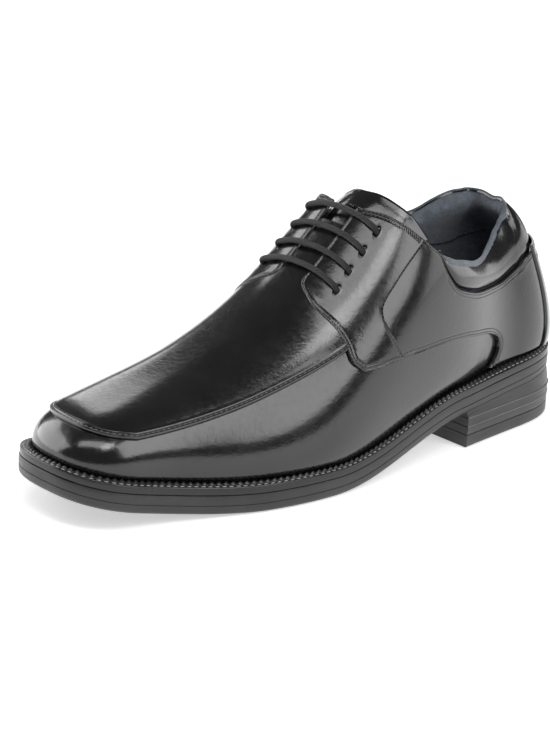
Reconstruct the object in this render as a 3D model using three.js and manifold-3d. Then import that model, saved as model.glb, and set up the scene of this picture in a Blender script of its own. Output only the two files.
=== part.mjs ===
// Square toe lace-up dress shoe, left foot: a lasted leather upper on a welted rubber sole.
// Millimetres. +X points to the toe, +Y to the outer side, +Z up. The shoe stands on Z = 0.

import * as THREE from "three";
import { LoftGeometry } from "three/addons/geometries/LoftGeometry.js";
import { mergeVertices } from "three/addons/utils/BufferGeometryUtils.js";
import Module from "manifold-3d";

const kernel = await Module();
kernel.setup();

// Driving dimensions of the sole
const SOLE_LENGTH = 305;
const BALL_WIDTH = 100;
const SOLE_THICKNESS = 8.9;
const TOE_SPRING = 13.9;
const HEEL_LENGTH = 81.5;
const HEEL_HEIGHT = 22.3;
const BREAST_HEIGHT = 16.4;
const LIFT_THICKNESS = 6;
const WELT_THICKNESS = 3.6;
const BEAD_HEIGHT = 1.5;
const INSOLE_THICKNESS = 5.5;

// Driving dimensions of the upper
const INSTEP_HEIGHT = 101.3;
const WALL = 2;
const APRON_THICKNESS = 1.1;
const QUARTER_THICKNESS = 1.6;
const PAD_THICKNESS = 2.4;
const STRIP_THICKNESS = 0.9;
const STRIP_WIDTH = 17;
const THROAT_GAP = 15.6;
const TONGUE_THICKNESS = 3;
const LACE_DIAMETER = 3;
const EYELET_DIAMETER = 4.2;

// Clearance between two pieces that touch
const GAP = 0.3;

const LATERAL = 1;
const MEDIAL = -1;

// Sole outline: half widths as shares of the ball width, at shares of the sole length
const SOLE_OUTLINE = [
  { at: 0.13, lateral: 0.323, medial: 0.344 },
  { at: 0.26, lateral: 0.38, medial: 0.328 },
  { at: 0.42, lateral: 0.46, medial: 0.375 },
  { at: 0.6, lateral: 0.512, medial: 0.49 },
  { at: 0.72, lateral: 0.465, medial: 0.502 },
  { at: 0.86, lateral: 0.345, medial: 0.455 },
  { at: 1.0, lateral: 0.297, medial: 0.335 },
];

// Sections of the last. lateral and medial are half widths at the feather line, as shares of the ball width.
// crown is the closed last's height there, as a share of the instep height. boxiness is the section's power,
// bulge its swell above the feather line, and lean how far it draws in towards the crown.
const LAST_SECTIONS = [
  { at: 0.125, lateral: 0.258, medial: 0.29, crown: 1.079, boxiness: 1.95, bulge: 0.12, lean: 0.44 },
  { at: 0.26, lateral: 0.326, medial: 0.276, crown: 1.207, boxiness: 2.26, bulge: 0.17, lean: 0.12 },
  { at: 0.42, lateral: 0.42, medial: 0.344, crown: 1.0, boxiness: 2.53, bulge: 0.045, lean: -0.22 },
  { at: 0.6, lateral: 0.474, medial: 0.454, crown: 0.627, boxiness: 2.33, bulge: 0.045, lean: -0.01 },
  { at: 0.72, lateral: 0.413, medial: 0.45, crown: 0.462, boxiness: 2.25, bulge: 0.04, lean: 0.005 },
  { at: 0.86, lateral: 0.285, medial: 0.394, crown: 0.293, boxiness: 2.75, bulge: 0.03, lean: 0.002 },
  { at: 1.0, lateral: 0.233, medial: 0.266, crown: 0.138, boxiness: 2.95, bulge: 0.043, lean: 0.003 },
];

// Lines on the upper seen from the side: at is a share of the sole length, rise a share of the instep height
// above the feather line.
const TOPLINE = [
  { at: -0.05, lateral: 0.69, medial: 0.7 },
  { at: 0.082, lateral: 0.7, medial: 0.715 },
  { at: 0.131, lateral: 0.718, medial: 0.742 },
  { at: 0.157, lateral: 0.705, medial: 0.745 },
  { at: 0.184, lateral: 0.625, medial: 0.72 },
  { at: 0.216, lateral: 0.575, medial: 0.675 },
  { at: 0.262, lateral: 0.591, medial: 0.66 },
  { at: 0.328, lateral: 0.662, medial: 0.69 },
  { at: 0.361, lateral: 0.73, medial: 0.745 },
  { at: 0.393, lateral: 0.832, medial: 0.836 },
  { at: 0.42, lateral: 0.93, medial: 0.93 },
  { at: 0.439, lateral: 0.956, medial: 0.956 },
  { at: 0.462, lateral: 0.928, medial: 0.928 },
];
const QUARTER_FRONT = [
  { at: 0.531, rise: 0.8 },
  { at: 0.551, rise: 0.75 },
  { at: 0.56, rise: 0.716 },
  { at: 0.565, rise: 0.677 },
  { at: 0.555, rise: 0.628 },
  { at: 0.55, rise: 0.565 },
  { at: 0.545, rise: 0.46 },
  { at: 0.531, rise: 0.4 },
];
const QUARTER_FOOT = [
  { at: 0.531, rise: 0.4 },
  { at: 0.492, rise: 0.39 },
  { at: 0.45, rise: 0.378 },
  { at: 0.413, rise: 0.352 },
  { at: 0.362, rise: 0.32 },
  { at: 0.306, rise: 0.281 },
  { at: 0.236, rise: 0.232 },
  { at: 0.199, rise: 0.19 },
  { at: 0.181, rise: 0.137 },
  { at: 0.186, rise: 0.081 },
  { at: 0.204, rise: 0.01 },
];
const PAD_FOOT = [
  { at: 0.363, rise: 0.74 },
  { at: 0.353, rise: 0.662 },
  { at: 0.339, rise: 0.595 },
  { at: 0.325, rise: 0.547 },
  { at: 0.296, rise: 0.499 },
  { at: 0.25, rise: 0.457 },
  { at: 0.19, rise: 0.428 },
  { at: 0.158, rise: 0.432 },
  { at: 0.125, rise: 0.46 },
  { at: 0.09, rise: 0.5 },
  { at: -0.05, rise: 0.53 },
];

// Apron edge: girth at steps along the last
const APRON_EDGE = [
  { at: 1.4, girth: 0.44 },
  { at: 1.65, girth: 0.464 },
  { at: 1.82, girth: 0.457 },
  { at: 1.95, girth: 0.436 },
  { at: 2.11, girth: 0.462 },
  { at: 2.34, girth: 0.516 },
  { at: 2.55, girth: 0.566 },
  { at: 2.85, girth: 0.597 },
  { at: 3, girth: 0.6 },
];

// Eyelets: girth is the share of the section's girth from the feather line to the crown
const EYELETS = [
  { at: 0.529, girth: 0.69 },
  { at: 0.505, girth: 0.7 },
  { at: 0.478, girth: 0.705 },
  { at: 0.45, girth: 0.71 },
];

// Tongue from its hidden front to its top: edge is the girth share where it ends
const TONGUE_ROWS = [
  { at: 0.64, edge: 0.74 },
  { at: 0.6, edge: 0.7 },
  { at: 0.55, edge: 0.67 },
  { at: 0.51, edge: 0.65 },
  { at: 0.47, edge: 0.6 },
  { at: 0.44, edge: 0.55 },
  { at: 0.42, edge: 0.53 },
  { at: 0.41, edge: 0.56 },
  { at: 0.405, edge: 0.62 },
];
const TONGUE_BOW = 0.075;

// Plan of each form. reach is the length of the rounded end, power its squareness.
const SOLE_PLAN = {
  back: 0, front: SOLE_LENGTH, heelReach: 0.13 * SOLE_LENGTH, toeReach: 0.0987 * SOLE_LENGTH,
  heelPower: 2.31, toePower: 2.55, rows: SOLE_OUTLINE,
};
const LAST_PLAN = {
  back: 0.0134 * SOLE_LENGTH, front: 0.981 * SOLE_LENGTH, heelReach: 0.11 * SOLE_LENGTH,
  toeReach: 0.0869 * SOLE_LENGTH, heelPower: 2.31, toePower: 2.53, rows: LAST_SECTIONS,
};
const HEEL_BULGE = 0.227;
const HEEL_DRAW = 0.92;

// Steps along a form: 0 is the heel's back, 1 the end of its round, 2 the start of the toe's round, 3 its tip
const HEEL_STEPS = 6;
const MID_STEPS = 12;
const TOE_STEPS = 8;
const GIRTH_STEPS = 10;
const EDGE_STEPS = 18;
const CUT_REACH = 400;
const CUT_DEPTH = 4;

const range = (count, from = 0, to = 1) =>
  Array.from({ length: count + 1 }, (_, i) => from + ((to - from) * i) / count);
const clamp = (value, low, high) => Math.min(Math.max(value, low), high);
const mix = (a, b, share) => a + (b - a) * share;
const smooth = (share) => share * share * (3 - 2 * share);

const STEPS = [
  ...range(HEEL_STEPS),
  ...range(MID_STEPS, 1, 2).slice(1),
  ...range(TOE_STEPS, 2, 3).slice(1),
];

// A cubic spline through one column of a table, level at its first row and free at its last.
function column(rows, key, scale = 1, unit = SOLE_LENGTH) {
  const xs = rows.map((row) => row.at * unit);
  const ys = rows.map((row) => row[key] * scale);
  const last = xs.length - 1;
  const upper = [0.5];
  const bends = [(3 * (ys[1] - ys[0])) / (xs[1] - xs[0]) ** 2];
  for (let i = 1; i < last; i++) {
    const before = xs[i] - xs[i - 1];
    const after = xs[i + 1] - xs[i];
    const pivot = 2 * (before + after) - before * upper[i - 1];
    const slopes = (ys[i + 1] - ys[i]) / after - (ys[i] - ys[i - 1]) / before;
    upper.push(after / pivot);
    bends.push((6 * slopes - before * bends[i - 1]) / pivot);
  }
  bends.push(0);
  for (let i = last - 1; i >= 0; i--) bends[i] -= upper[i] * bends[i + 1];
  return (place) => {
    const x = clamp(place, xs[0], xs[last]);
    const i = clamp(xs.findIndex((knot) => knot >= x) - 1, 0, last - 1);
    const span = xs[i + 1] - xs[i];
    const a = (xs[i + 1] - x) / span;
    const b = 1 - a;
    const bend = (a ** 3 - a) * bends[i] + (b ** 3 - b) * bends[i + 1];
    return a * ys[i] + b * ys[i + 1] + (bend * span * span) / 6;
  };
}

const halfWidths = (rows) => ({
  [LATERAL]: column(rows, "lateral", BALL_WIDTH),
  [MEDIAL]: column(rows, "medial", BALL_WIDTH),
});
SOLE_PLAN.half = halfWidths(SOLE_OUTLINE);
LAST_PLAN.half = halfWidths(LAST_SECTIONS);
const crownOf = column(LAST_SECTIONS, "crown", INSTEP_HEIGHT);
const boxinessOf = column(LAST_SECTIONS, "boxiness");
const bulgeOf = column(LAST_SECTIONS, "bulge");
const leanOf = column(LAST_SECTIONS, "lean");

// Heights along the shoe
const FLAT_BACK = 0.582 * SOLE_LENGTH;
const FLAT_FRONT = 0.703 * SOLE_LENGTH;
const SPRING_POWER = 1.8;

function soleUnder(x) {
  const ahead = clamp((x - FLAT_FRONT) / (SOLE_LENGTH - FLAT_FRONT), 0, 1);
  const arch = clamp((FLAT_BACK - x) / (FLAT_BACK - HEEL_LENGTH), 0, 1);
  const heel = clamp((HEEL_LENGTH - x) / HEEL_LENGTH, 0, 1);
  const rise = TOE_SPRING * ahead ** SPRING_POWER + BREAST_HEIGHT * smooth(arch);
  return rise + (HEEL_HEIGHT - BREAST_HEIGHT) * heel;
}
const soleTop = (x) => soleUnder(x) + SOLE_THICKNESS;
const weltTop = (x) => soleTop(x) + GAP + WELT_THICKNESS;
const featherLine = (x) => weltTop(x) + GAP;

// A quarter turn of a superellipse: turn 0 is along the axis, 1 across it.
function superTurn(turn, power) {
  const along = Math.cos((turn * Math.PI) / 2);
  const across = Math.sin((turn * Math.PI) / 2);
  const reach = (Math.abs(along) ** power + Math.abs(across) ** power) ** (1 / power);
  return [along / reach, across / reach];
}

// A point of a plan's outline drawn in by inset.
function planPoint(plan, step, side, inset = 0) {
  const heelEnd = plan.back + plan.heelReach;
  const toeStart = plan.front - plan.toeReach;
  const [heelAlong, heelAcross] = superTurn(clamp(step, 0, 1), plan.heelPower);
  const [toeAlong, toeAcross] = superTurn(clamp(3 - step, 0, 1), plan.toePower);
  let x = mix(heelEnd, toeStart, clamp(step - 1, 0, 1));
  let across = 1;
  if (step < 1) [x, across] = [heelEnd - (plan.heelReach - inset) * heelAlong, heelAcross];
  if (step > 2) [x, across] = [toeStart + (plan.toeReach - inset) * toeAlong, toeAcross];
  const y = side * (plan.half[side](Math.max(x, heelEnd)) - inset) * across;
  return { x, y };
}
const stepAt = (plan, x) => 1 + (x - plan.back - plan.heelReach) /
  (plan.front - plan.toeReach - plan.back - plan.heelReach);

// A point of the last, girth 0 at the feather line and 1 at the crown.
function lastPoint(step, side, girth) {
  const plan = LAST_PLAN;
  const heelEnd = plan.back + plan.heelReach;
  const toeStart = plan.front - plan.toeReach;
  const [heelAlong, heelAcross] = superTurn(clamp(step, 0, 1), plan.heelPower);
  const [toeAlong, toeAcross] = superTurn(clamp(3 - step, 0, 1), plan.toePower);
  const section = clamp(mix(heelEnd, toeStart, step - 1), heelEnd, toeStart);
  const [base, height] = superTurn(girth, boxinessOf(section));
  const swell = Math.sin(Math.PI * height ** 0.6);
  const narrow = (x) => 1 + bulgeOf(x) * swell - leanOf(x) * height;
  let x = section;
  let across = 1;
  if (step < 1) {
    const draw = base * (1 + HEEL_BULGE * swell) * (1 - height) ** HEEL_DRAW;
    [x, across] = [heelEnd - plan.heelReach * draw * heelAlong, heelAcross];
  }
  if (step > 2) [x, across] = [toeStart + plan.toeReach * narrow(section) * base * toeAlong, toeAcross];
  const place = clamp(x, heelEnd, plan.front);
  const power = boxinessOf(place);
  const arch = Math.max(1 - height ** power, 0) ** (1 / power);
  const y = side * plan.half[side](place) * narrow(place) * arch * across;
  return new THREE.Vector3(x, y, featherLine(x) + crownOf(place) * height);
}

// The last's outward direction, level at the feather line and upright in the middle plane at the crown.
const NUDGE = 1e-3;
function lastNormal(step, side, girth) {
  if (girth > 1 - NUDGE) {
    const place = clamp(step, 1, 2);
    const ahead = lastPoint(Math.min(place + NUDGE, 2), LATERAL, 1);
    const along = ahead.sub(lastPoint(Math.max(place - NUDGE, 1), LATERAL, 1));
    return new THREE.Vector3(-along.z, 0, along.x).normalize();
  }
  const along = lastPoint(Math.min(step + NUDGE, 3), side, girth)
    .sub(lastPoint(Math.max(step - NUDGE, 0), side, girth));
  const up = lastPoint(step, side, girth + NUDGE).sub(lastPoint(step, side, Math.max(girth - NUDGE, 0)));
  const normal = up.cross(along).multiplyScalar(side);
  if (girth === 0) normal.z = 0;
  if (step === 0 || step === 3) normal.y = 0;
  return normal.normalize();
}
const onLast = (step, side, girth, offset) =>
  lastPoint(step, side, girth).addScaledVector(lastNormal(step, side, girth), offset);

// A closed ring round the shoe: the inner side from heel to toe, then the outer side back.
const ringOf = (place, steps = STEPS) => [
  ...steps.map((step) => place(step, MEDIAL)),
  ...steps.toReversed().map((step) => place(step, LATERAL)),
];

// A three.js geometry as a solid, without the triangles that collapse where a form closes.
function solid(geometry) {
  const bare = new THREE.BufferGeometry();
  bare.setAttribute("position", geometry.getAttribute("position"));
  bare.setIndex(geometry.getIndex());
  const merged = mergeVertices(bare, 1e-4);
  const corners = merged.getIndex().array;
  const kept = [];
  for (let i = 0; i < corners.length; i += 3) {
    const [a, b, c] = corners.slice(i, i + 3);
    if (a !== b && b !== c && c !== a) kept.push(a, b, c);
  }
  return new kernel.Manifold(new kernel.Mesh({
    numProp: 3,
    vertProperties: merged.getAttribute("position").array,
    triVerts: new Uint32Array(kept),
  }));
}
const loft = (rings) => solid(new LoftGeometry(rings));

// A ring laid flat onto the middle plane, which closes a form below or above.
const spine = (ring) => ring.map((point, i) => {
  const across = ring[ring.length - 1 - i];
  return new THREE.Vector3((point.x + across.x) / 2, 0, (point.z + across.z) / 2);
});

// The solid between two heights over a plan's outline. Each level is an inset and a height.
function slab(plan, levels, steps = STEPS) {
  const rings = levels.map(({ inset, height }) => ringOf((step, side) => {
    const { x, y } = planPoint(plan, step, side, inset);
    return new THREE.Vector3(x, y, height(x));
  }, steps));
  return loft([spine(rings[0]), ...rings, spine(rings.at(-1))]);
}

// The last as a closed solid, swollen by offset. deeper carries its underside down, to open a shell.
function lastForm(offset, deeper = 0) {
  const rings = range(GIRTH_STEPS).map((girth) => ringOf((step, side) => onLast(step, side, girth, offset)));
  if (deeper > 0) rings.unshift(rings[0].map((point) => point.clone().setZ(point.z - deeper)));
  return loft([spine(rings[0]), ...rings]);
}

// A layer on the last, such as a leather panel, from one offset to another
const layer = (inner, outer) => lastForm(outer).subtract(lastForm(inner, CUT_REACH));

const alongLine = (rows, key, lift = 0, shift = 0) => {
  const points = rows.map((row) => {
    const x = row.at * SOLE_LENGTH + shift;
    return new THREE.Vector2(x, featherLine(x) + row[key] * INSTEP_HEIGHT + lift);
  });
  return new THREE.SplineCurve(points).getPoints(LINE_POINTS * (rows.length - 1));
};
const LINE_POINTS = 2;

const prism = (outline) =>
  new THREE.ExtrudeGeometry(new THREE.Shape(outline), { depth: CUT_REACH, bevelEnabled: false });

// A prism over an outline in X and Z, from the middle plane out to one side
function sideZone(outline, side) {
  const geometry = prism(outline);
  geometry.rotateX(Math.PI / 2);
  if (side === LATERAL) geometry.translate(0, CUT_REACH, 0);
  return solid(geometry);
}

// A prism over an outline in X and Y, from a height upwards
function topZone(outline, floor) {
  return solid(prism(outline).translate(0, 0, floor));
}

const toplineZone = (side) => {
  const line = alongLine(TOPLINE, side === LATERAL ? "lateral" : "medial");
  const above = [new THREE.Vector2(line.at(-1).x, CUT_REACH), new THREE.Vector2(line[0].x, CUT_REACH)];
  return sideZone([...line, ...above], side);
};

const throatZone = (front) => {
  const half = THROAT_GAP / 2;
  const back = TOPLINE.at(-5).at * SOLE_LENGTH;
  const corners = [[back, -half], [front, -half], [front, half], [back, half]];
  return topZone(corners.map(([x, y]) => new THREE.Vector2(x, y)), featherLine(front) + INSTEP_HEIGHT / 3);
};

const quarterZone = (side, shift = 0) => {
  const front = alongLine(QUARTER_FRONT, "rise", 0, shift);
  const foot = alongLine(QUARTER_FOOT, "rise", 0, shift);
  const corners = [
    new THREE.Vector2(foot.at(-1).x, -CUT_REACH), new THREE.Vector2(-CUT_REACH, -CUT_REACH),
    new THREE.Vector2(-CUT_REACH, CUT_REACH), new THREE.Vector2(front[0].x, CUT_REACH),
  ];
  return sideZone([...front, ...foot.slice(1), ...corners], side);
};

const padZone = (side, clear = 0) => {
  const foot = alongLine(PAD_FOOT, "rise", -clear, clear);
  const corners = [new THREE.Vector2(foot.at(-1).x, CUT_REACH), new THREE.Vector2(foot[0].x, CUT_REACH)];
  return sideZone([...foot, ...corners], side);
};

// What lies above the apron's edge, cut square to the leather
const apronEdge = column(APRON_EDGE, "girth", 1, 1);
const apronZone = () => {
  const steps = range(EDGE_STEPS, APRON_EDGE[0].at, 3);
  const ring = (offset) => ringOf((step, side) => onLast(step, side, apronEdge(step), offset), steps);
  const walls = [ring(-CUT_DEPTH), ring(CUT_DEPTH)];
  const lid = walls[1].map((point) => point.clone().setZ(CUT_REACH));
  return loft([spine(walls[0]), ...walls, lid, spine(lid)]);
};

// What the welt's bead and the sole take up below the panels
const beddingZone = () => {
  const wide = -BALL_WIDTH / 4;
  return slab(SOLE_PLAN, [
    { inset: wide, height: (x) => soleUnder(x) },
    { inset: wide, height: (x) => weltTop(x) + BEAD_HEIGHT + GAP },
  ]);
};

const eyeletPlace = ({ at, girth }, side) => [stepAt(LAST_PLAN, at * SOLE_LENGTH), side, girth];
const EYELET_SIDES = 10;
const eyeletHole = (row, side) => {
  const radius = EYELET_DIAMETER / 2;
  const depth = 8 * WALL;
  const geometry = new THREE.CylinderGeometry(radius, radius, depth, EYELET_SIDES);
  const place = eyeletPlace(row, side);
  const turn = new THREE.Quaternion().setFromUnitVectors(new THREE.Vector3(0, 1, 0), lastNormal(...place));
  const { x, y, z } = lastPoint(...place);
  return solid(geometry.applyQuaternion(turn).translate(x, y, z));
};

const cut = (body, ...cutters) => cutters.reduce((rest, cutter) => rest.subtract(cutter), body);

// The sole's side from the tread up: draw is how far it stands in, as a share of the thickness
const SOLE_SIDE = [
  { draw: 0.18, share: 0 },
  { draw: 0.04, share: 0.12 },
  { draw: 0.03, share: 0.42 },
  { draw: 0.1, share: 0.46 },
  { draw: 0.03, share: 0.5 },
  { draw: 0, share: 0.94 },
  { draw: 0.04, share: 1 },
];
function makeOutsole() {
  return slab(SOLE_PLAN, SOLE_SIDE.map(({ draw, share }) => ({
    inset: draw * SOLE_THICKNESS,
    height: (x) => soleUnder(x) + share * SOLE_THICKNESS,
  })));
}

// The heel's side from the lift up: draw in shares of the lift's thickness
const HEEL_SIDE = [
  { draw: -0.2, share: 0 },
  { draw: -0.16, share: 0.46 },
  { draw: 0, share: 0.5 },
  { draw: -0.14, share: 0.54 },
  { draw: -0.02, share: 1 },
];
const HEEL_BLOCK_STEPS = 4;
const heelSteps = [
  ...range(HEEL_STEPS),
  ...range(HEEL_BLOCK_STEPS, 1, stepAt(SOLE_PLAN, HEEL_LENGTH)).slice(1),
];
function makeHeel() {
  const foot = LIFT_THICKNESS + GAP;
  return slab(SOLE_PLAN, HEEL_SIDE.map(({ draw, share }) => ({
    inset: draw * LIFT_THICKNESS,
    height: (x) => mix(foot, soleUnder(x) - GAP, share),
  })), heelSteps);
}

const LIFT_SIDE = [
  { draw: -0.12, share: 0 },
  { draw: -0.22, share: 0.12 },
  { draw: -0.2, share: 1 },
];
function makeTopLift() {
  return slab(SOLE_PLAN, LIFT_SIDE.map(({ draw, share }) => ({
    inset: draw * LIFT_THICKNESS,
    height: () => share * LIFT_THICKNESS,
  })), heelSteps);
}

// The welt's section: out runs from the upper, 0, to the sole's edge, 1. rise is above the welt's top, in its
// thickness, and bead in the bead's height. The last two rows lie under the upper.
const WELT_SIDE = [
  { out: 0.94, rise: -1, bead: 0 },
  { out: 0.94, rise: -0.2, bead: 0 },
  { out: 0.87, rise: 0, bead: 0 },
  { out: 0.72, rise: 0, bead: 0 },
  { out: 0.65, rise: -0.14, bead: 0 },
  { out: 0.58, rise: 0, bead: 0 },
  { out: 0.42, rise: 0, bead: 0 },
  { out: 0.3, rise: 0, bead: 0.85 },
  { out: 0.16, rise: 0, bead: 1 },
  { out: 0, rise: 0, bead: 0.85 },
  { out: 0, rise: 0, bead: 0 },
  { out: -1, rise: 0, bead: 0 },
  { out: -1, rise: -1, bead: 0 },
];
function makeWelt() {
  const ring = ({ out, rise, bead }) => ringOf((step, side) => {
    const girth = (BEAD_HEIGHT + GAP) / crownOf(planPoint(LAST_PLAN, step, side).x) / (Math.PI / 2);
    const beside = onLast(step, side, girth, GAP);
    const edge = planPoint(SOLE_PLAN, step, side);
    const under = planPoint(LAST_PLAN, step, side, WALL);
    const x = out < 0 ? under.x : mix(beside.x, edge.x, out);
    const y = out < 0 ? under.y : mix(beside.y, edge.y, out);
    return new THREE.Vector3(x, y, weltTop(x) + rise * WELT_THICKNESS + bead * BEAD_HEIGHT);
  });
  const rings = WELT_SIDE.map(ring);
  return loft([...rings, rings[0]]);
}

function makeInsole() {
  const inset = WALL + 2 * GAP;
  const levels = [[inset, 0], [inset, 0.9], [inset + GAP, 1]];
  return slab(LAST_PLAN, levels.map(([draw, share]) => ({
    inset: draw,
    height: (x) => soleTop(x) + GAP + share * INSOLE_THICKNESS,
  })));
}

const sides = [LATERAL, MEDIAL];
const eyeletHoles = sides.flatMap((side) => EYELETS.map((row) => eyeletHole(row, side)));
const toplines = sides.map(toplineZone);
const THROAT_FRONT = 0.53 * SOLE_LENGTH;
const FACING_FRONT = 0.6 * SOLE_LENGTH;

function makeUpper() {
  const shell = lastForm(0).subtract(lastForm(-WALL, CUT_REACH));
  return cut(shell, ...toplines, throatZone(THROAT_FRONT), ...eyeletHoles);
}

function makeQuarter(side) {
  const panel = layer(GAP, GAP + QUARTER_THICKNESS).intersect(quarterZone(side));
  const seam = topZone([[-1, -1], [1, -1], [1, 1], [-1, 1]].map(([x, y]) =>
    new THREE.Vector2(x * LAST_PLAN.heelReach, (y * GAP) / 2)), 0);
  const cuts = [throatZone(FACING_FRONT), padZone(side, 2 * GAP), seam, beddingZone()];
  return cut(panel, ...toplines, ...cuts, ...eyeletHoles);
}

function makeApron() {
  const panel = layer(GAP, GAP + APRON_THICKNESS).intersect(apronZone());
  return cut(panel, ...sides.map((side) => quarterZone(side, 2 * GAP)));
}

function makePad() {
  const panel = layer(GAP, GAP + PAD_THICKNESS);
  const zone = padZone(LATERAL).add(padZone(MEDIAL));
  return cut(panel.intersect(zone), ...toplines);
}

function makeStrip() {
  const base = 2 * GAP + QUARTER_THICKNESS;
  const half = STRIP_WIDTH / 2;
  const reach = LAST_PLAN.heelReach;
  const zone = topZone([[-reach, -half], [reach, -half], [reach, half], [-reach, half]].map(([x, y]) =>
    new THREE.Vector2(x, y)), 0);
  const panel = layer(base, base + STRIP_THICKNESS).intersect(zone);
  return cut(panel, ...sides.map((side) => padZone(side, 2 * GAP)), beddingZone());
}

// The tongue lies close under the throat and deeper beside it, where the lace runs over it.
const TONGUE_COLUMNS = 5;
function makeTongue() {
  const shallow = WALL + 3 * GAP;
  const deep = WALL + LACE_DIAMETER + 6 * GAP;
  const section = ({ at, edge }) => {
    const girths = range(TONGUE_COLUMNS, edge, 1);
    const point = (side, extra) => (girth) => {
      const bow = TONGUE_BOW * (1 - girth) * clamp((0.47 - at) / 0.05, 0, 1);
      const step = stepAt(LAST_PLAN, (at - bow) * SOLE_LENGTH);
      const out = Math.abs(lastPoint(step, side, girth).y);
      const sunk = mix(shallow, deep, smooth(clamp((out - THROAT_GAP / 2) / (THROAT_GAP / 2), 0, 1)));
      return onLast(step, side, girth, -sunk - extra);
    };
    const sheet = (extra) => [
      ...girths.map(point(LATERAL, extra)),
      ...girths.slice(0, -1).reverse().map(point(MEDIAL, extra)),
    ];
    return [...sheet(0), ...sheet(TONGUE_THICKNESS).reverse()];
  };
  return solid(new LoftGeometry(TONGUE_ROWS.map(section).reverse(), { capStart: true, capEnd: true }));
}

// The lace as one cord: a bar over the throat from eyelet to eyelet, then a run behind the facing.
// Each row gives the way from an eyelet to the crown in lace diameters, or the share of it, and the offset.
const LACE_SIDES = 8;
const LACE_OVER = 4 * GAP + QUARTER_THICKNESS + LACE_DIAMETER / 2;
const LACE_UNDER = -WALL - 2 * GAP - LACE_DIAMETER / 2;
const LACE_BEND = [
  { along: 0, offset: -WALL },
  { along: 0, offset: QUARTER_THICKNESS + GAP },
  { along: 0.09, offset: LACE_OVER - 0.85 },
  { along: 0.33, offset: LACE_OVER - 0.1 },
  { along: 0.66, offset: LACE_OVER + 0.15 },
  { along: 1.6, offset: LACE_OVER + 0.1 },
  { along: 4, offset: LACE_OVER },
  { along: 7, offset: LACE_OVER },
];
const LACE_HIDDEN = [
  { along: 0.1, offset: LACE_UNDER },
  { along: 0.5, offset: LACE_UNDER - GAP },
  { along: 0.9, offset: LACE_UNDER },
];
function lacePath() {
  const half = (row, side) => LACE_BEND.map(({ along, offset }) => {
    const [step, , girth] = eyeletPlace(row, side);
    const reach = lastPoint(step, side, girth).distanceTo(lastPoint(step, side, 1));
    return onLast(step, side, mix(girth, 1, (along * LACE_DIAMETER) / reach), offset);
  });
  const hidden = (row, next, side) => LACE_HIDDEN.map(({ along, offset }) => {
    const [from, , girth] = eyeletPlace(row, side);
    const [to, , girthTo] = eyeletPlace(next, side);
    return onLast(mix(from, to, along), side, mix(girth, girthTo, along), offset);
  });
  return EYELETS.flatMap((row, i) => {
    const from = i % 2 === 0 ? LATERAL : MEDIAL;
    const crown = onLast(eyeletPlace(row, from)[0], from, 1, LACE_OVER);
    const bar = [...half(row, from), crown, ...half(row, -from).reverse()];
    return i < EYELETS.length - 1 ? [...bar, ...hidden(row, EYELETS[i + 1], -from)] : bar;
  });
}
function makeLace() {
  const path = lacePath();
  let across = new THREE.Vector3(1, 0, 0);
  const rings = path.map((point, i) => {
    const before = path[Math.max(i - 1, 0)];
    const after = path[Math.min(i + 1, path.length - 1)];
    const along = after.clone().sub(before).normalize();
    across = across.clone().addScaledVector(along, -across.dot(along)).normalize();
    const upward = along.clone().cross(across);
    return range(LACE_SIDES).slice(1).map((share) => point.clone()
      .addScaledVector(across, (Math.cos(2 * Math.PI * share) * LACE_DIAMETER) / 2)
      .addScaledVector(upward, (Math.sin(2 * Math.PI * share) * LACE_DIAMETER) / 2));
  });
  return solid(new LoftGeometry(rings, { capStart: true, capEnd: true }));
}

const LEATHER = { color: 0x1b1b1d, roughness: 0.22, metalness: 0 };
const RUBBER = { color: 0x3c3c3e, roughness: 0.6, metalness: 0 };
const TEXTILE = { color: 0x4a5058, roughness: 0.9, metalness: 0 };
const CORD = { color: 0x2c2c2e, roughness: 0.75, metalness: 0 };

// A solid as a named three.js mesh
function piece(name, body, look) {
  const { vertProperties, triVerts } = body.getMesh();
  const geometry = new THREE.BufferGeometry();
  geometry.setAttribute("position", new THREE.BufferAttribute(new Float32Array(vertProperties), 3));
  geometry.setIndex(new THREE.BufferAttribute(new Uint32Array(triVerts), 1));
  geometry.computeVertexNormals();
  const mesh = new THREE.Mesh(geometry, new THREE.MeshStandardMaterial(look));
  mesh.name = name;
  return mesh;
}

const shoe = new THREE.Group();
shoe.add(
  piece("outsole", makeOutsole(), RUBBER),
  piece("heel", makeHeel(), RUBBER),
  piece("top_lift", makeTopLift(), RUBBER),
  piece("welt", makeWelt(), RUBBER),
  piece("insole", makeInsole(), TEXTILE),
  piece("upper", makeUpper(), LEATHER),
  piece("apron", makeApron(), LEATHER),
  piece("quarter_lateral", makeQuarter(LATERAL), LEATHER),
  piece("quarter_medial", makeQuarter(MEDIAL), LEATHER),
  piece("collar_pad", makePad(), LEATHER),
  piece("back_strip", makeStrip(), LEATHER),
  piece("tongue", makeTongue(), LEATHER),
  piece("lace", makeLace(), CORD),
);

// The part's origin is on the floor, under the middle of the shoe.
const bounds = new THREE.Box3().setFromObject(shoe);
const middle = bounds.getCenter(new THREE.Vector3());
shoe.position.set(-middle.x, -middle.y, -bounds.min.z);

const part = new THREE.Group();
part.add(shoe);

export default part;
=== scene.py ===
"""A left square toe lace-up dress shoe in polished black leather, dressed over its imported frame."""

from __future__ import annotations

import logging
import math
from dataclasses import dataclass, field
from enum import Enum
from typing import Callable, Sequence

import bpy
import numpy as np
from mathutils import Matrix, Vector
from mathutils.geometry import delaunay_2d_cdt

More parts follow.
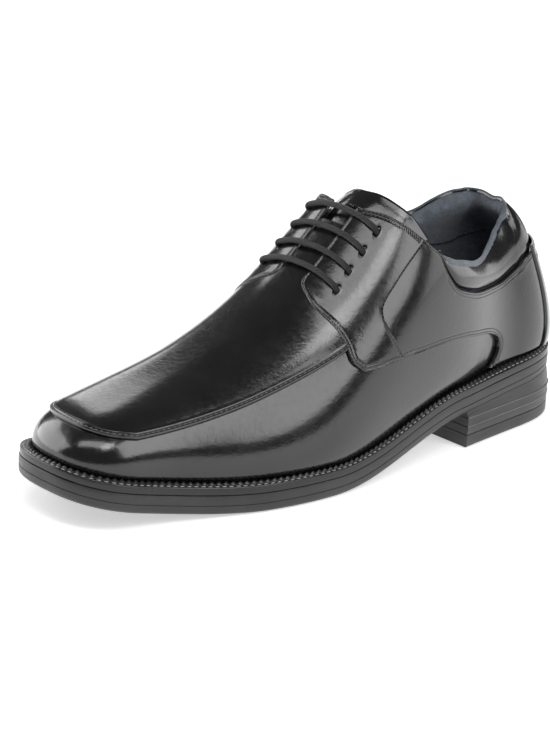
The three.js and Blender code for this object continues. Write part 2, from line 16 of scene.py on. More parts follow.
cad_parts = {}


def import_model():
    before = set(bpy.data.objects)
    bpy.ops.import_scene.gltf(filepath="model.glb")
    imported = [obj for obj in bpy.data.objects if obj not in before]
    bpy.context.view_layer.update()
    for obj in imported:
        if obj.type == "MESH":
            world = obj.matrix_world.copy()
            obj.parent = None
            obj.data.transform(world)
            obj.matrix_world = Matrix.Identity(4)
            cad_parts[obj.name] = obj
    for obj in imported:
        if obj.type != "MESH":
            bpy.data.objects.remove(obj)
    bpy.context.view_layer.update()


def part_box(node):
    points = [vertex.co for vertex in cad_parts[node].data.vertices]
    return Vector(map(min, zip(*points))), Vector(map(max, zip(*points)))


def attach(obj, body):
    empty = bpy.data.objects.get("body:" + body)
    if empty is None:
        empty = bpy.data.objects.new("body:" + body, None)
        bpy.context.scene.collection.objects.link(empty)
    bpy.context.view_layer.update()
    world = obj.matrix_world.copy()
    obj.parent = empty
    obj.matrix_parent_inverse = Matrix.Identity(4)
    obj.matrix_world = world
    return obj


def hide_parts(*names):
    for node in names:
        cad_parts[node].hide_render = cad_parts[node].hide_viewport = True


LOG = logging.getLogger("shoe")
MM = 0.001
Array = np.ndarray


class Side(Enum):
    """The two sides of the shoe, as the sign of Y."""

    OUTER = 1
    INNER = -1


class Slot(Enum):
    """The material slots of the record."""

    LEATHER = "leather"
    SOLE = "sole"
    WELT = "welt"
    LINING = "lining"
    LACE = "lace"


# Shader tools.


@dataclass(frozen=True)
class Signal:
    """A node's output socket, told apart from plain values."""

    socket: bpy.types.NodeSocket


class Board:
    """A material's node tree."""

    def __init__(self, name: str) -> None:
        """Makes an empty material with an output."""
        self.material = bpy.data.materials.new(name)
        self.material.use_nodes = True
        self.tree = self.material.node_tree
        self.tree.nodes.clear()
        self.output = self.tree.nodes.new("ShaderNodeOutputMaterial")

    def node(self, kind: str, settings: dict | None = None, inputs: dict | None = None, out: int | str = 0) -> Signal:
        """Adds a node.

        Args:
            kind: the node's type.
            settings: its properties; "stops" gives a ramp's two positions and greys.
            inputs: values or signals for its sockets.
            out: the output to return.

        Returns:
            The output as a signal.
        """
        made = self.tree.nodes.new(kind)
        for key, value in (settings or {}).items():
            if key == "stops":
                for element, (place, shade) in zip(made.color_ramp.elements, value):
                    element.position = place
                    element.color = (shade, shade, shade, 1)
            else:
                setattr(made, key, value)
        for key, value in (inputs or {}).items():
            if isinstance(value, Signal):
                self.tree.links.new(value.socket, made.inputs[key])
            else:
                made.inputs[key].default_value = value
        return Signal(made.outputs[out])

    def place(self, scale: float | Sequence[float], uv: bool = False) -> Signal:
        """Object coordinates in metres, or the UV map, scaled."""
        source = self.node("ShaderNodeTexCoord", out="UV" if uv else "Object")
        factor = (scale,) * 3 if isinstance(scale, (int, float)) else tuple(scale)
        return self.node("ShaderNodeMapping", {}, {"Vector": source, "Scale": factor})

    def noise(self, scale: float, detail: float = 2.0, rough: float = 0.5) -> Signal:
        """Fractal noise, scale in waves a metre."""
        return self.node(
            "ShaderNodeTexNoise", {}, {"Vector": self.place(1.0), "Scale": scale, "Detail": detail, "Roughness": rough}
        )

    def cells(self, scale: float, feature: str = "F1", random: float = 1.0) -> Signal:
        """Cells, scale in cells a metre."""
        inputs = {"Vector": self.place(1.0), "Scale": scale, "Randomness": random}
        return self.node("ShaderNodeTexVoronoi", {"feature": feature}, inputs, "Distance")

    def ramp(self, value: Signal, *stops: tuple[float, float]) -> Signal:
        """A ramp of two greys over a value."""
        return self.node("ShaderNodeValToRGB", {"stops": stops}, {"Fac": value})

    def span(self, value: Signal, low: float, high: float, to_low: float = 0.0, to_high: float = 1.0) -> Signal:
        """A value carried from one span to another and held at its ends."""
        limits = {"Value": value, "From Min": low, "From Max": high, "To Min": to_low, "To Max": to_high}
        return self.node("ShaderNodeMapRange", {}, limits)

    def blend(self, factor: Signal, first: object, second: object) -> Signal:
        """A mix of two colours."""
        inputs = {0: factor, 6: first, 7: second}
        return self.node("ShaderNodeMix", {"data_type": "RGBA"}, inputs, 2)

    def surface(
        self, color: object, rough: object, relief: Sequence[tuple[Signal, float]], **constants: object
    ) -> bpy.types.Material:
        """Ends the material in a Principled shader.

        Args:
            color: base colour, linear, or a signal.
            rough: roughness or a signal.
            relief: heights and their distances in metres, coarsest first.
            constants: other sockets, spaces written as underscores.

        Returns:
            The material.
        """
        normal: Signal | None = None
        for height, distance in relief:
            inputs: dict = {"Height": height, "Distance": distance, "Strength": 1.0}
            if normal is not None:
                inputs["Normal"] = normal
            normal = self.node("ShaderNodeBump", {}, inputs)
        sockets: dict = {"Base Color": color, "Roughness": rough}
        if normal is not None:
            sockets["Normal"] = normal
        sockets.update({key.replace("_", " "): value for key, value in constants.items()})
        shader = self.node("ShaderNodeBsdfPrincipled", {}, sockets)
        self.tree.links.new(shader.socket, self.output.inputs["Surface"])
        return self.material


# Finishes.


@dataclass(frozen=True)
class PolishedLeather:
    """Black calf with a deep shine and a fine grain that only shows where a reflection ends."""

    name: str = "polished_leather"
    color: tuple[float, float, float] = (0.0055, 0.0055, 0.0058)
    rough: float = 0.17
    grain: float = 0.000024

    def make(self) -> bpy.types.Material:
        """Builds the material."""
        board = Board(self.name)
        cloud = board.noise(45.0, 3.0)
        mottle = board.noise(380.0, 2.0)
        pores = board.cells(1150.0)
        creases = board.cells(420.0, "SMOOTH_F1")
        tone = tuple(2.1 * part for part in self.color)
        color = board.blend(board.span(cloud, 0.35, 0.7), (*self.color, 1), (*tone, 1))
        rough = board.span(mottle, 0.3, 0.7, self.rough - 0.03, self.rough + 0.06)
        relief = [(mottle, 1.6 * self.grain), (creases, 1.6 * self.grain), (pores, 1.3 * self.grain)]
        return board.surface(color, rough, relief, Coat_Weight=0.5, Coat_Roughness=0.12, Specular_IOR_Level=0.5)


@dataclass(frozen=True)
class SoleRubber:
    """Satin dark grey moulded rubber with faint scuffs."""

    name: str = "sole_rubber"
    color: tuple[float, float, float] = (0.02, 0.02, 0.021)
    rough: float = 0.38

    def make(self) -> bpy.types.Material:
        """Builds the material."""
        board = Board(self.name)
        cloud = board.noise(60.0, 4.0)
        fine = board.noise(1500.0, 2.0)
        streak = board.node(
            "ShaderNodeTexNoise", {}, {"Vector": board.place((60.0, 60.0, 900.0)), "Scale": 1.0, "Detail": 3.0}
        )
        tone = tuple(1.6 * part for part in self.color)
        color = board.blend(board.span(cloud, 0.3, 0.75), (*self.color, 1), (*tone, 1))
        rough = board.span(streak, 0.3, 0.7, self.rough - 0.08, self.rough + 0.1)
        return board.surface(color, rough, [(streak, 0.00003), (fine, 0.00002)], Specular_IOR_Level=0.5)


@dataclass(frozen=True)
class LiningCloth:
    """Slate blue-grey knitted lining with a soft nap."""

    name: str = "lining_cloth"
    color: tuple[float, float, float] = (0.125, 0.145, 0.175)
    threads: float = 1500.0

    def make(self) -> bpy.types.Material:
        """Builds the material."""
        board = Board(self.name)
        knit = board.cells(self.threads, "F1", random=0.55)
        nap = board.noise(260.0, 4.0, 0.6)
        dark = tuple(0.55 * part for part in self.color)
        light = tuple(1.35 * part for part in self.color)
        base = board.blend(board.span(nap, 0.3, 0.72), (*dark, 1), (*light, 1))
        color = board.blend(board.span(knit, 0.1, 0.75, 0.0, 0.6), base, (*dark, 1))
        return board.surface(color, 0.92, [(nap, 0.00015), (knit, -0.00018)], Sheen_Weight=0.35, Sheen_Roughness=0.5)


@dataclass(frozen=True)
class LaceCord:
    """Round waxed cord, braided, dark grey."""

    name: str = "lace_cord"
    color: tuple[float, float, float] = (0.007, 0.007, 0.0073)
    strands: float = 12.0

    def make(self) -> bpy.types.Material:
        """Builds the material."""
        board = Board(self.name)
        fuzz = board.noise(2300.0, 3.0, 0.7)
        braid = board.node(
            "ShaderNodeTexWave",
            {"wave_type": "BANDS", "bands_direction": "DIAGONAL"},
            {"Vector": board.place((self.strands, 420.0, 1.0), uv=True), "Scale": 0.5, "Distortion": 0.6},
        )
        light = tuple(5.0 * part for part in self.color)
        color = board.blend(board.span(fuzz, 0.35, 0.7), (*self.color, 1), (*light, 1))
        return board.surface(color, 0.62, [(braid, 0.0004), (fuzz, 0.00025)], Sheen_Weight=0.08)


@dataclass(frozen=True)
class Thread:
    """Sewing thread, twisted, in one tone."""

    name: str
    color: tuple[float, float, float]
    rough: float = 0.55

    def make(self) -> bpy.types.Material:
        """Builds the material."""
        board = Board(self.name)
        twist = board.noise(2600.0, 2.0)
        dark = tuple(0.6 * part for part in self.color)
        color = board.blend(board.span(twist, 0.35, 0.65), (*dark, 1), (*self.color, 1))
        return board.surface(color, self.rough, [(twist, 0.00006)])


@dataclass(frozen=True)
class PaleFloor:
    """A plain white studio floor."""

    name: str = "pale_floor"
    tone: float = 0.93
    glow: float = 0.5

    def make(self) -> bpy.types.Material:
        """Builds the material."""
        board = Board(self.name)
        cloud = board.noise(3.0, 2.0)
        color = board.ramp(cloud, (0.3, self.tone), (0.7, self.tone + 0.02))
        glowing = {"Emission_Color": (1, 1, 1, 1), "Emission_Strength": self.glow}
        return board.surface(color, 0.6, [], Specular_IOR_Level=0.2, **glowing)


class Palette:
    """Makes each finish once."""

    def __init__(self) -> None:
        """Starts empty."""
        self.made: dict[str, bpy.types.Material] = {}

    def __call__(self, finish: object) -> bpy.types.Material:
        """The material of a finish."""
        if finish.name not in self.made:
            self.made[finish.name] = finish.make()
        return self.made[finish.name]


LEATHER = PolishedLeather()
RUBBER = SoleRubber()
CLOTH = LiningCloth()
CORD = LaceCord()
WELTING = SoleRubber("welt_strip", (0.009, 0.009, 0.0095), 0.3)
# Painted highlight: the heel's raised ridges are coloured pale grey to show the light along them.
PAINTED_HIGHLIGHT_RUBBER = SoleRubber("painted_highlight_ridge", (0.14, 0.14, 0.14), 0.4)
BLACK_THREAD = Thread("black_thread", (0.07, 0.07, 0.072), 0.34)
# Painted highlight: the apron's black stitches are coloured light grey to show the light on the thread.
APRON_THREAD_PAINTED_HIGHLIGHT = Thread("apron_thread_painted_highlight", (0.17, 0.17, 0.172), 0.4)
GREY_THREAD = Thread("grey_thread", (0.5, 0.5, 0.49))


# The last, its curves and its outlines.


class Curve:
    """A cubic spline through a short table."""

    def __init__(self, places: Sequence[float], values: Sequence[float], level: bool = True) -> None:
        """Solves the spline, level at its first row if asked."""
        x, y = np.asarray(places, float), np.asarray(values, float)
        n, h = len(x), np.diff(x)
        matrix, right = np.eye(n), np.zeros(n)
        if level:
            matrix[0, :2] = 2, 1
            right[0] = 6 * (y[1] - y[0]) / h[0] ** 2
        for i in range(1, n - 1):
            matrix[i, i - 1 : i + 2] = h[i - 1], 2 * (h[i - 1] + h[i]), h[i]
            right[i] = 6 * ((y[i + 1] - y[i]) / h[i] - (y[i] - y[i - 1]) / h[i - 1])
        self.x, self.y, self.bend = x, y, np.linalg.solve(matrix, right)

    def __call__(self, place: Array | float) -> Array:
        """The value at each place, held beyond the ends."""
        v = np.clip(place, self.x[0], self.x[-1])
        i = np.clip(np.searchsorted(self.x, v) - 1, 0, len(self.x) - 2)
        h = self.x[i + 1] - self.x[i]
        a = (self.x[i + 1] - v) / h
        b = 1 - a
        bend = (a**3 - a) * self.bend[i] + (b**3 - b) * self.bend[i + 1]
        return a * self.y[i] + b * self.y[i + 1] + bend * h * h / 6


def smooth(value: Array | float, low: float = 0.0, high: float = 1.0) -> Array:
    """A smooth step from low to high."""
    share = np.clip((np.asarray(value, float) - low) / (high - low), 0, 1)
    return share * share * (3 - 2 * share)


def super_turn(turn: Array, power: Array | float) -> tuple[Array, Array]:
    """A quarter turn of a superellipse: along and across."""
    along, across = np.cos(turn * np.pi / 2), np.sin(turn * np.pi / 2)
    reach = (np.abs(along) ** power + np.abs(across) ** power) ** (1 / power)
    return along / reach, across / reach


@dataclass(frozen=True)
class Plan:
    """An outline seen from above, in millimetres from the sole's back."""

    back: float
    front: float
    heel_reach: float
    toe_reach: float
    heel_power: float
    toe_power: float
    outer: Curve
    inner: Curve
    taper: float = 0.0

    @property
    def heel_end(self) -> float:
        """Where the heel's round ends."""
        return self.back + self.heel_reach

    @property
    def toe_start(self) -> float:
        """Where the toe's round starts."""
        return self.front - self.toe_reach

    def half(self, x: Array, side: Array) -> Array:
        """The half width on a side."""
        return np.where(np.asarray(side) > 0, self.outer(x), self.inner(x))

    def step_at(self, x: Array | float) -> Array | float:
        """The step of a place between the rounds."""
        return 1 + (x - self.heel_end) / (self.toe_start - self.heel_end)

    def point(self, step: Array, side: Array, inset: Array | float = 0.0) -> Array:
        """X and Y of the outline, drawn in by inset."""
        step, side, inset = np.broadcast_arrays(np.asarray(step, float), side, inset)
        heel_along, heel_across = super_turn(np.clip(step, 0, 1), self.heel_power)
        toe_along, toe_across = super_turn(np.clip(3 - step, 0, 1), self.toe_power)
        middle = self.heel_end + np.clip(step - 1, 0, 1) * (self.toe_start - self.heel_end)
        x = np.where(step < 1, self.heel_end - (self.heel_reach - inset) * heel_along, middle)
        x = np.where(step > 2, self.toe_start + (self.toe_reach - inset) * toe_along, x)
        across = np.where(step < 1, heel_across, np.where(step > 2, toe_across, 1.0))
        narrow = self.taper * np.maximum(self.heel_end - x, 0) * (side > 0)
        y = side * (self.half(np.maximum(x, self.heel_end), side) - inset - narrow) * across
        return np.stack([x, y], -1)


@dataclass(frozen=True)
class Last:
    """The shoe's form. Every panel lies on it. Millimetres, X from the sole's back."""

    length: float = 305.0
    width: float = 100.0
    instep: float = 101.3
    sole_thick: float = 8.9
    toe_spring: float = 13.9
    heel_length: float = 81.5
    heel_height: float = 22.3
    breast: float = 16.4
    lift: float = 6.0
    welt_thick: float = 3.6
    bead: float = 1.5
    wall: float = 2.0
    gap: float = 0.3
    heel_bulge: float = 0.227
    heel_draw: float = 0.92
    plan: Plan = field(init=False)
    sole: Plan = field(init=False)
    tables: dict = field(init=False)

    def __post_init__(self) -> None:
        """Fills the plans and the sections from their tables."""
        at = np.array([0.125, 0.26, 0.42, 0.6, 0.72, 0.86, 1.0]) * self.length
        sole_at = np.array([0.13, 0.26, 0.42, 0.6, 0.72, 0.86, 1.0]) * self.length
        half = lambda places, values, level=True: Curve(places, np.array(values) * self.width, level)
        put = object.__setattr__
        put(self, "plan", Plan(
            0.0134 * self.length, 0.981 * self.length, 0.11 * self.length, 0.0869 * self.length, 2.31, 2.53,
            half(at, [0.258, 0.326, 0.42, 0.474, 0.413, 0.285, 0.233]),
            half(at, [0.29, 0.276, 0.344, 0.454, 0.45, 0.394, 0.266]),
        ))
        put(self, "sole", Plan(
            0.0, self.length, 0.13 * self.length, 0.0987 * self.length, 2.85, 2.55,
            half(sole_at, [0.323, 0.38, 0.46, 0.512, 0.465, 0.345, 0.297], False),
            half(sole_at, [0.344, 0.328, 0.375, 0.49, 0.502, 0.455, 0.335], False), 0.13,
        ))
        put(self, "tables", {
            "crown": Curve(at, np.array([1.079, 1.207, 1.0, 0.627, 0.462, 0.293, 0.138]) * self.instep),
            "boxy": Curve(at, [1.95, 2.26, 2.53, 2.33, 2.25, 2.75, 2.95]),
            "bulge": Curve(at, [0.12, 0.17, 0.045, 0.045, 0.04, 0.03, 0.043]),
            "lean": Curve(at, [0.44, 0.12, -0.22, -0.01, 0.005, 0.002, 0.003]),
        })

    def sole_under(self, x: Array) -> Array:
        """The underside of the sole."""
        x = np.asarray(x, float)
        flat_back, flat_front = 0.582 * self.length, 0.703 * self.length
        ahead = np.clip((x - flat_front) / (self.length - flat_front), 0, 1)
        arch = np.clip((flat_back - x) / (flat_back - self.heel_length), 0, 1)
        heel = np.clip((self.heel_length - x) / self.heel_length, 0, 1)
        rise = self.toe_spring * ahead**1.8 + self.breast * smooth(arch)
        return rise + (self.heel_height - self.breast) * heel

    def sole_top(self, x: Array) -> Array:
        """The top of the sole."""
        return self.sole_under(x) + self.sole_thick

    def welt_top(self, x: Array) -> Array:
        """The top of the welt."""
        return self.sole_top(x) + self.gap + self.welt_thick

    def feather(self, x: Array) -> Array:
        """The lower edge of the upper."""
        return self.welt_top(x) + self.gap

    def point(self, step: Array, side: Array, girth: Array) -> Array:
        """Points of the last.

        Args:
            step: 0 at the heel's back, 1 where its round ends, 2 where the toe's round starts, 3 at the tip.
            side: 1 for the outer side, -1 for the inner.
            girth: 0 at the feather line, 1 at the crown.

        Returns:
            The points, with a last axis of three.
        """
        step, side, girth = np.broadcast_arrays(*(np.asarray(part, float) for part in (step, side, girth)))
        plan, tables = self.plan, self.tables
        heel_along, heel_across = super_turn(np.clip(step, 0, 1), plan.heel_power)
        toe_along, toe_across = super_turn(np.clip(3 - step, 0, 1), plan.toe_power)
        section = plan.heel_end + np.clip(step - 1, 0, 1) * (plan.toe_start - plan.heel_end)
        base, height = super_turn(girth, tables["boxy"](section))
        height = np.clip(height, 0, 1)
        swell = np.sin(np.pi * height**0.6)
        narrow = lambda x: 1 + tables["bulge"](x) * swell - tables["lean"](x) * height
        draw = base * (1 + self.heel_bulge * swell) * (1 - height) ** self.heel_draw
        x = np.where(step < 1, plan.heel_end - plan.heel_reach * draw * heel_along, section)
        x = np.where(step > 2, plan.toe_start + plan.toe_reach * narrow(section) * base * toe_along, x)
        across = np.where(step < 1, heel_across, np.where(step > 2, toe_across, 1.0))
        place = np.clip(x, plan.heel_end, plan.front)
        power = tables["boxy"](place)
        arch = np.maximum(1 - height**power, 0) ** (1 / power)
        y = side * plan.half(place, side) * narrow(place) * arch * across
        return np.stack([x, y, self.feather(x) + tables["crown"](place) * height], -1)

    def normal(self, step: Array, side: Array, girth: Array) -> Array:
        """Outward directions of the last."""
        step, side, girth = np.broadcast_arrays(*(np.asarray(part, float) for part in (step, side, girth)))
        nudge = 1e-3
        girth_in = np.clip(girth, nudge, 1 - nudge)
        step_in = np.clip(step, nudge, 3 - nudge)
        along = self.point(step_in + nudge, side, girth_in) - self.point(step_in - nudge, side, girth_in)
        up = self.point(step_in, side, girth_in + nudge) - self.point(step_in, side, girth_in - nudge)
        normal = np.cross(up, along) * side[..., None]
        normal[..., 1] *= smooth(1 - girth, 0.0, 0.004) * smooth(step, 0.0, 0.004) * smooth(3 - step, 0.0, 0.004)
        return normal / np.maximum(np.linalg.norm(normal, axis=-1, keepdims=True), 1e-12)

    def on(self, step: Array, side: Array, girth: Array, offset: Array | float) -> Array:
        """Points at an offset from the last."""
        normal = self.normal(step, side, girth)
        return self.point(step, side, girth) + np.asarray(offset, float)[..., None] * normal

    def find(self, side: int, targets: Array, axes: tuple[int, int], girths: tuple[float, float] = (0.0, 1.0),
             steps: tuple[float, float] = (0.0, 3.0)) -> Array:
        """Steps and girths whose points have the given coordinates.

        Args:
            side: the side to look on.
            targets: pairs of coordinates.
            axes: which coordinates they are.
            girths: the span of girths to look in.
            steps: the span of steps to look in.

        Returns:
            Pairs of step and girth.
        """
        targets = np.asarray(targets, float)
        grid_step, grid_girth = np.meshgrid(np.linspace(*steps, 260), np.linspace(*girths, 160), indexing="ij")
        table = self.point(grid_step, side, grid_girth)[..., axes].reshape(-1, 2)
        found = np.empty_like(targets)
        for i, target in enumerate(targets):
            best = np.argmin(((table - target) ** 2).sum(-1))
            found[i] = grid_step.flat[best], grid_girth.flat[best]
        for _ in range(6):
            here = self.point(found[:, 0], side, found[:, 1])[:, axes]
            nudge = 1e-4
            by_step = (self.point(found[:, 0] + nudge, side, found[:, 1])[:, axes] - here) / nudge
            by_girth = (self.point(found[:, 0], side, found[:, 1] + nudge)[:, axes] - here) / nudge
            miss = targets - here
            size = by_step[:, 0] * by_girth[:, 1] - by_step[:, 1] * by_girth[:, 0]
            size = np.where(np.abs(size) < 1e-3, np.inf, size)
            move_step = (miss[:, 0] * by_girth[:, 1] - miss[:, 1] * by_girth[:, 0]) / size
            move_girth = (by_step[:, 0] * miss[:, 1] - by_step[:, 1] * miss[:, 0]) / size
            found[:, 0] = np.clip(found[:, 0] + np.clip(move_step, -0.02, 0.02), *steps)
            found[:, 1] = np.clip(found[:, 1] + np.clip(move_girth, -0.02, 0.02), *girths)
        return found

    def side_line(self, rows: Sequence[tuple[float, float]], side: int, girths: tuple[float, float] = (0.0, 1.0),
                  fine: int = 8) -> Array:
        """A line seen from the side, given by shares of the length and rises, as steps and girths."""
        rows = catmull(np.array(rows, float), fine)
        x = rows[:, 0] * self.length
        targets = np.stack([x, self.feather(x) + rows[:, 1] * self.instep], -1)
        return self.find(side, targets, (0, 2), girths)


def catmull(rows: Array, fine: int) -> Array:
    """A smooth line through the rows, with fine points to each stretch."""
    padded = np.vstack([2 * rows[0] - rows[1], rows, 2 * rows[-1] - rows[-2]])
    parts = []
    for i in range(len(rows) - 1):
        a, b, c, d = padded[i : i + 4]
        t = np.linspace(0, 1, fine, endpoint=False)[:, None]
        parts.append(0.5 * (2 * b + (c - a) * t + (2 * a - 5 * b + 4 * c - d) * t**2 + (3 * b - a - 3 * c + d) * t**3))
    return np.vstack([*parts, rows[-1:]])


def reach_along(points: Array) -> Array:
    """How far along its polyline each point lies."""
    return np.concatenate([[0], np.cumsum(np.linalg.norm(np.diff(points, axis=0), axis=1))])


def read_off(at: Array, reach: Array, rows: Array) -> Array:
    """The rows' values at places along their reach."""
    return np.stack([np.interp(at, reach, rows[:, k]) for k in range(rows.shape[1])], -1)


def unit(vectors: Array) -> Array:
    """The vectors at a length of one."""
    return vectors / np.maximum(np.linalg.norm(vectors, axis=-1, keepdims=True), 1e-9)


def there_and_back(steps: Array) -> tuple[Array, Array]:
    """Steps and sides out along the inner side and back along the outer."""
    return np.concatenate([steps, steps[::-1]]), np.repeat([-1.0, 1.0], len(steps))


def inside(places: Array, outline: Array) -> Array:
    """Whether flat places lie inside a closed outline."""
    ahead = np.roll(outline, -1, 0)
    crosses = (outline[None, :, 1] > places[:, None, 1]) != (ahead[None, :, 1] > places[:, None, 1])
    rise = ahead[:, 1] - outline[:, 1]
    rise = np.where(np.abs(rise) < 1e-12, 1e-12, rise)
    at = outline[:, 0] + (places[:, None, 1] - outline[:, 1]) / rise * (ahead[:, 0] - outline[:, 0])
    return (crosses & (places[:, None, 0] < at)).sum(1) % 2 == 1


# The bench, where meshes are made and handed in.


class Bench:
    def __init__(self, last: Last, palette: Palette) -> None:
        """Finds the row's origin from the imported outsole."""
        self.last = last
        self.palette = palette
        low, high = (np.array(corner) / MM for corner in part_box("outsole"))
        steps = np.linspace(0, 3, 600)
        outline = np.vstack([last.sole.point(steps, side) for side in (1, -1)])
        centre = (outline.max(0) + outline.min(0)) / 2
        self.shift = np.array([*((low + high)[:2] / 2 - centre), low[2]])

    def sheet(self, name: str, points: Array, flip: bool = False) -> bpy.types.Object:
        """A primitive grid whose points are set one by one.

        Args:
            name: the piece's name.
            points: rows of points in millimetres.
            flip: turns the faces over.

        Returns:
            The new object.
        """
        rows, columns = points.shape[:2]
        bpy.ops.object.select_all(action="DESELECT")
        bpy.ops.mesh.primitive_grid_add(x_subdivisions=columns - 1, y_subdivisions=rows - 1, size=1)
        piece = bpy.context.object
        piece.name = piece.data.name = name
        placed = (points.reshape(-1, 3) + self.shift) * MM
        piece.data.vertices.foreach_set("co", placed.astype(np.float32).ravel())
        if flip:
            self.flip(piece)
        piece.data.update()
        return piece

    def mesh(self, name: str, points: Array, faces: Sequence[Sequence[int]]) -> bpy.types.Object:
        """A piece from points in millimetres and its faces."""
        mesh = bpy.data.meshes.new(name)
        mesh.from_pydata(((points + self.shift) * MM).tolist(), [], faces)
        piece = bpy.data.objects.new(name, mesh)
        bpy.context.scene.collection.objects.link(piece)
        return piece

    def pick(self, *pieces: bpy.types.Object) -> None:
        """Selects these pieces alone, the first of them active."""
        bpy.ops.object.select_all(action="DESELECT")
        for piece in pieces:
            piece.select_set(True)
        bpy.context.view_layer.objects.active = pieces[0]

    def flip(self, piece: bpy.types.Object) -> None:
        """Turns a piece's faces over."""
        self.edit(piece, lambda: bpy.ops.mesh.flip_normals())

    def edit(self, piece: bpy.types.Object, *operators: Callable[[], object]) -> None:
        """Runs edit mode operators on all of a piece."""
        self.pick(piece)
        bpy.ops.object.mode_set(mode="EDIT")
        bpy.ops.mesh.select_all(action="SELECT")
        for operator in operators:
            operator()
        bpy.ops.object.mode_set(mode="OBJECT")

    def weld(self, piece: bpy.types.Object, outward: bool = True, reach: float = 0.02) -> None:
        """Merges the doubles and, on a closed piece, turns the faces out."""
        tasks = [lambda: bpy.ops.mesh.remove_doubles(threshold=reach * MM)]
        if outward:
            tasks.append(lambda: bpy.ops.mesh.normals_make_consistent(inside=False))
        self.edit(piece, *tasks)

    def join(self, name: str, parts: Sequence[bpy.types.Object]) -> bpy.types.Object:
        """Joins parts into one piece."""
        self.pick(*parts)
        bpy.ops.object.join()
        piece = bpy.context.object
        piece.name = piece.data.name = name
        return piece

    def thicken(self, piece: bpy.types.Object, thick: float) -> None:
        """Gives a sheet a wall towards its inside."""
        self.pick(piece)
        wall = piece.modifiers.new("wall", "SOLIDIFY")
        wall.thickness = thick * MM
        wall.offset = -1
        wall.use_even_offset = False
        bpy.ops.object.modifier_apply(modifier=wall.name)

    def hand_in(self, piece: bpy.types.Object, finish: object, slot: Slot, *nodes: str, angle: float = 50.0) -> None:
        """Args:
            piece: the finished piece.
            finish: its finish.
            slot: the record's slot; not used.
            nodes: the solids that it stands for.
            angle: the edge angle in degrees up to which it is smooth.
        """
        self.pick(piece)
        bpy.ops.object.shade_smooth_by_angle(angle=math.radians(angle))
        piece.data.materials.clear()
        piece.data.materials.append(self.palette(finish))
        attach(piece, "root")
        if nodes:
            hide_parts(*nodes)
        LOG.info("%s: %d faces", piece.name, len(piece.data.polygons))

    def ring_steps(self, heel: int, middle: int, toe: int) -> tuple[Array, Array]:
        """Steps and sides once round the shoe, from the heel's back over the inner side and back."""
        steps = np.concatenate([
            np.linspace(0, 1, heel, endpoint=False), np.linspace(1, 2, middle, endpoint=False), np.linspace(2, 3, toe)
        ])
        return there_and_back(steps)

    def slab(self, name: str, plan: Plan, levels: Sequence[tuple[float, Callable[[Array], Array]]],
             ring: tuple[Array, Array]) -> bpy.types.Object:
        """A closed solid between two heights over a plan's outline."""
        steps, sides = ring
        rows = []
        for inset, height in levels:
            flat = plan.point(steps, sides, inset)
            rows.append(np.column_stack([flat, height(flat[:, 0])]))
        spine = lambda row: (row + row[::-1]) / 2 * [1, 0, 1]
        fill = lambda row, share: row * (1 - share) + spine(row) * share
        low, high = rows[0], rows[-1]
        closed = [fill(high, 0.12), fill(high, 0.5), spine(high)]
        grid = np.array([spine(low), fill(low, 0.5), fill(low, 0.12), *rows, *closed])
        piece = self.sheet(name, np.concatenate([grid, grid[:, :1]], 1))
        self.weld(piece)
        return piece


@dataclass
class Seam:
    """A row of stitches along a line on a surface."""

    pitch: float = 2.6
    length: float = 2.0
    width: float = 0.55
    proud: float = 0.28

    def build(self, bench: Bench, name: str, runs: Sequence[tuple[Array, Array]]) -> bpy.types.Object:
        """Sews runs of points.

        Args:
            bench: the bench.
            name: the seam's name.
            runs: pairs of points and outward normals.

        Returns:
            One piece with all the stitches.
        """
        bpy.ops.object.select_all(action="DESELECT")
        bpy.ops.mesh.primitive_uv_sphere_add(segments=8, ring_count=6, radius=0.5)
        stitch = bpy.context.object
        shape = np.empty(len(stitch.data.vertices) * 3)
        stitch.data.vertices.foreach_get("co", shape)
        shape = shape.reshape(-1, 3)[:, [2, 1, 0]] * [self.length, self.width, 2 * self.proud]
        faces = [tuple(face.vertices) for face in stitch.data.polygons]
        bpy.data.objects.remove(stitch)
        places = []
        for points, normals in runs:
            reach = reach_along(points)
            count = max(int(reach[-1] / self.pitch), 1)
            at = (np.arange(count) + 0.5) * reach[-1] / count
            behind, middle, ahead = (read_off(at + d, reach, points) for d in (-0.4, 0.0, 0.4))
            forward = unit(ahead - behind)
            up = read_off(at, reach, normals)
            up = unit(up - (up * forward).sum(1, keepdims=True) * forward)
            row = middle[:, None]
            for k, way in enumerate((forward, np.cross(up, forward), up)):
                row = row + shape[None, :, k : k + 1] * way[:, None]
            places.append(row)
        cloud = np.concatenate(places)
        count, size = cloud.shape[:2]
        every = [tuple(v + i * size for v in face) for i in range(count) for face in faces]
        piece = bench.mesh(name, cloud.reshape(-1, 3), every)
        bench.weld(piece, reach=0.0001)
        return piece


# Sub-assemblies.


